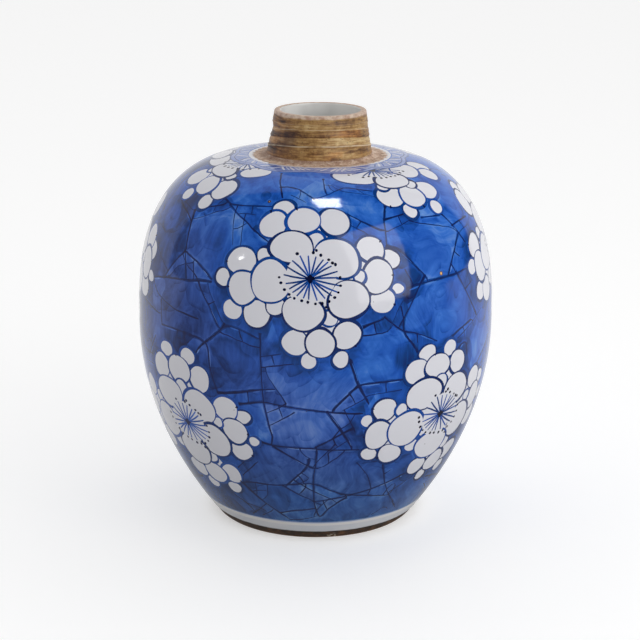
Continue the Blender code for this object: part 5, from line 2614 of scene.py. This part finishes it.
class Reach(Enum):
    """What a lamp does: shine softly on things, or only show as a gleam in the glaze."""

    SHINE = "shine"
    GLEAM = "gleam"


@dataclass(frozen=True)
class SoftBox:
    """A rectangular lamp that faces the jar."""

    name: str
    place: tuple[float, float, float]
    size: Place
    power: float
    reach: Reach = Reach.SHINE
    target: tuple[float, float, float] = (0.0, 0.0, 0.085)
    colour: Colour = (1.0, 1.0, 1.0)
    roll: float = 0.0

    def hang(self) -> bpy.types.Object:
        """Make the lamp and turn it to its target.

        Returns:
            The lamp.
        """
        data = bpy.data.lights.new(self.name, "AREA")
        data.shape = "RECTANGLE"
        data.size, data.size_y = self.size
        data.energy = self.power
        data.color = self.colour
        lamp = bpy.data.objects.new(self.name, data)
        bpy.context.scene.collection.objects.link(lamp)
        lamp.location = self.place
        facing = (Vector(self.place) - Vector(self.target)).to_track_quat("Z", "Y")
        lamp.rotation_euler = (facing @ Quaternion((0.0, 0.0, 1.0), math.radians(self.roll))).to_euler()
        lamp.visible_glossy = self.reach is Reach.GLEAM
        lamp.visible_diffuse = self.reach is Reach.SHINE
        return lamp


@dataclass
class Studio:
    """The pale floor, the lamps, the surroundings and the camera."""

    # Colours of the floor: to the camera, in the glaze's mirror and to other light; then the backdrop's
    floor_seen: Colour = tint(220, 220, 220)
    floor_mirrored: Colour = tint(90, 90, 90)
    floor_lit: Colour = tint(170, 170, 170)
    backdrop_seen: Colour = tint(240, 240, 240)
    floor_radius: float = 6.0
    floor_glow: float = 0.085
    floor_glow_seen: float = 0.41
    floor_mirrored_behind: float = 0.78
    floor_mirrored_left: float = 0.27
    floor_mirrored_right: float = 0.08
    focal_length: float = 100.1
    sensor: float = 36.0
    camera_distance: float = 0.696
    camera_height: float = 0.2793
    look_down: float = 16.09
    roll: float = 0.3
    shift: Place = (0.0072, 0.0)
    light_from_right: float = 1.56
    light_from_left: float = 1.12
    light_from_behind: float = 1.88
    light_from_above: float = 0.24
    mirrored_backdrop: float = 0.60
    mirrored_horizon: float = 0.90
    mirrored_left: float = 0.40
    mirrored_right: float = 0.08
    backdrop_edge: float = 0.34
    backdrop_turn: float = 0.34
    lamps: tuple[SoftBox, ...] = (
        SoftBox("overhead_box", (0.098, -0.03, 1.236), (0.27, 0.22), 4.3, Reach.GLEAM,
                (0.003, -0.052, 0.139)),
        SoftBox("right_window", (0.96, -1.0, 0.77), (1.05, 1.48), 11.6, Reach.GLEAM,
                (0.03, -0.06, 0.12)),
        SoftBox("front_fill", (0.3, -1.4, 0.75), (1.0, 1.0), 5.7),
        SoftBox("right_bounce", (1.2, -0.96, 0.56), (0.9, 0.9), 5.2),
        SoftBox("left_glint", (-0.91, -0.72, 0.59), (0.07, 0.02), 0.17, Reach.GLEAM, (-0.0275, -0.06, 0.12),
                roll=62.0),
    )

    def build(self) -> None:
        """Set up everything that isn't the jar."""
        self._floor()
        for lamp in self.lamps:
            lamp.hang()
        self._surroundings()
        self._camera()
        bpy.context.scene.view_settings.view_transform = "Standard"

    def _floor(self) -> None:
        """A pale floor that catches the soft shadow."""
        mesh = bmesh.new()
        bmesh.ops.create_circle(mesh, cap_ends=True, segments=96, radius=self.floor_radius)
        data = bpy.data.meshes.new("pale_floor")
        mesh.to_mesh(data)
        mesh.free()
        floor = bpy.data.objects.new("pale_floor", data)
        bpy.context.scene.collection.objects.link(floor)
        finish = Finish("floor_paper")
        bench = finish.bench
        seen = bench.add("ShaderNodeLightPath").outputs["Is Camera Ray"]
        mirrored = bench.add("ShaderNodeLightPath").outputs["Is Glossy Ray"]
        unseen = bench.mix(mirrored, self.floor_lit, self.floor_mirrored)
        finish.set("Base Color", bench.mix(seen, unseen, self.floor_seen))
        finish.set("Roughness", 0.9)
        finish.set("Specular IOR Level", 0.0)
        finish.set("Emission Color", (1.0, 1.0, 1.0))
        across, depth, _ = bench.split(bench.place())
        glow = bench.between(across, -0.12, 0.25, self.floor_mirrored_left, self.floor_mirrored_right)
        rear = bench.number("SUBTRACT", self.floor_mirrored_behind, glow)
        glow = bench.times_plus(bench.between(depth, -0.08, 0.15), rear, glow)
        glow = bench.between(mirrored, 0.0, 1.0, self.floor_glow, glow)
        finish.set("Emission Strength", bench.between(seen, 0.0, 1.0, glow, self.floor_glow_seen))
        data.materials.append(finish.material)

    def _surroundings(self) -> None:
        """Pale surroundings: what the camera sees, and a softer light that reaches the jar."""
        world = bpy.data.worlds.new("studio")
        bpy.context.scene.world = world
        world.use_nodes = True
        bench = Bench(world.node_tree)
        seen = world.node_tree.nodes["Background"]
        seen.inputs["Color"].default_value = (*self.backdrop_seen, 1.0)
        lighting = bench.add("ShaderNodeBackground")
        lighting.inputs["Color"].default_value = (1.0, 1.0, 1.0, 1.0)
        across, deep, high = bench.split(bench.add("ShaderNodeTexCoord").outputs["Generated"])
        strength = 0.0
        for part, sign, amount in (
            (across, 1.0, self.light_from_right), (across, -1.0, self.light_from_left),
            (deep, 1.0, self.light_from_behind), (high, 1.0, self.light_from_above),
        ):
            towards = bench.number("MAXIMUM", bench.times(part, sign), 0.0)
            strength = bench.times_plus(bench.number("POWER", towards, 2.0), amount, strength)
        path = bench.add("ShaderNodeLightPath")
        to_the_right = bench.number("MAXIMUM", across, 0.0)
        squared = bench.times_plus(to_the_right, -self.backdrop_turn, deep)
        behind = bench.between(squared, self.backdrop_edge - 0.04, self.backdrop_edge + 0.04)
        fading = bench.between(high, 0.0, 0.6, self.mirrored_horizon, self.mirrored_backdrop)
        backdrop = bench.times(behind, fading)
        side = bench.between(across, -0.05, 0.05, self.mirrored_left, self.mirrored_right)
        sides = bench.times(bench.number("POWER", across, 2.0), side)
        mirrored = bench.number("MAXIMUM", backdrop, sides)
        in_gloss = bench.between(path.outputs["Is Glossy Ray"], 0.0, 1.0, strength, mirrored)
        bench.feed(lighting.inputs["Strength"], in_gloss)
        blend = bench.add("ShaderNodeMixShader")
        bench.feed(blend.inputs["Fac"], path.outputs["Is Camera Ray"])
        bench.feed(blend.inputs[1], lighting.outputs["Background"])
        bench.feed(blend.inputs[2], seen.outputs["Background"])
        bench.feed(world.node_tree.nodes["World Output"].inputs["Surface"], blend.outputs["Shader"])

    def _camera(self) -> None:
        """The camera, where the photograph was taken from."""
        data = bpy.data.cameras.new("camera")
        data.lens = self.focal_length
        data.sensor_width = self.sensor
        data.sensor_fit = "HORIZONTAL"
        data.shift_x, data.shift_y = self.shift
        camera = bpy.data.objects.new("camera", data)
        bpy.context.scene.collection.objects.link(camera)
        tilt = Matrix.Rotation(math.radians(90.0 - self.look_down), 4, "X")
        lean = Matrix.Rotation(math.radians(self.roll), 4, "Z")
        stand = Matrix.Translation((0.0, -self.camera_distance, self.camera_height))
        camera.matrix_world = stand @ tilt @ lean
        bpy.context.scene.camera = camera


def main() -> None:
    """Build the jar's pieces in order, then the studio."""
    logging.basicConfig(level=logging.INFO, format="%(name)s: %(message)s")
    white = PlainGlaze().make()
    bare = BareRing().make()
    PaintedBody().build(PaintedGlaze().make(), bare, white)
    NeckCollar().build(IronNeck().make(), white, bare)
    FootRing().build(FootFinish().make())
    slip = SlipFinish().make()
    base = PlainGlaze("base_glaze", tint(214, 216, 214), tint(190, 196, 202), 0.16).make()
    for node, finish in (("base_disc", base), ("base_lute", slip), ("belly_lute", slip), ("neck_lute", slip)):
        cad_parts[node].data.materials.clear()
        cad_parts[node].data.materials.append(finish)
        log.info("%s: kept from the frame", node)
    Studio().build()
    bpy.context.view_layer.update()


if __name__ == "__main__":
    main()
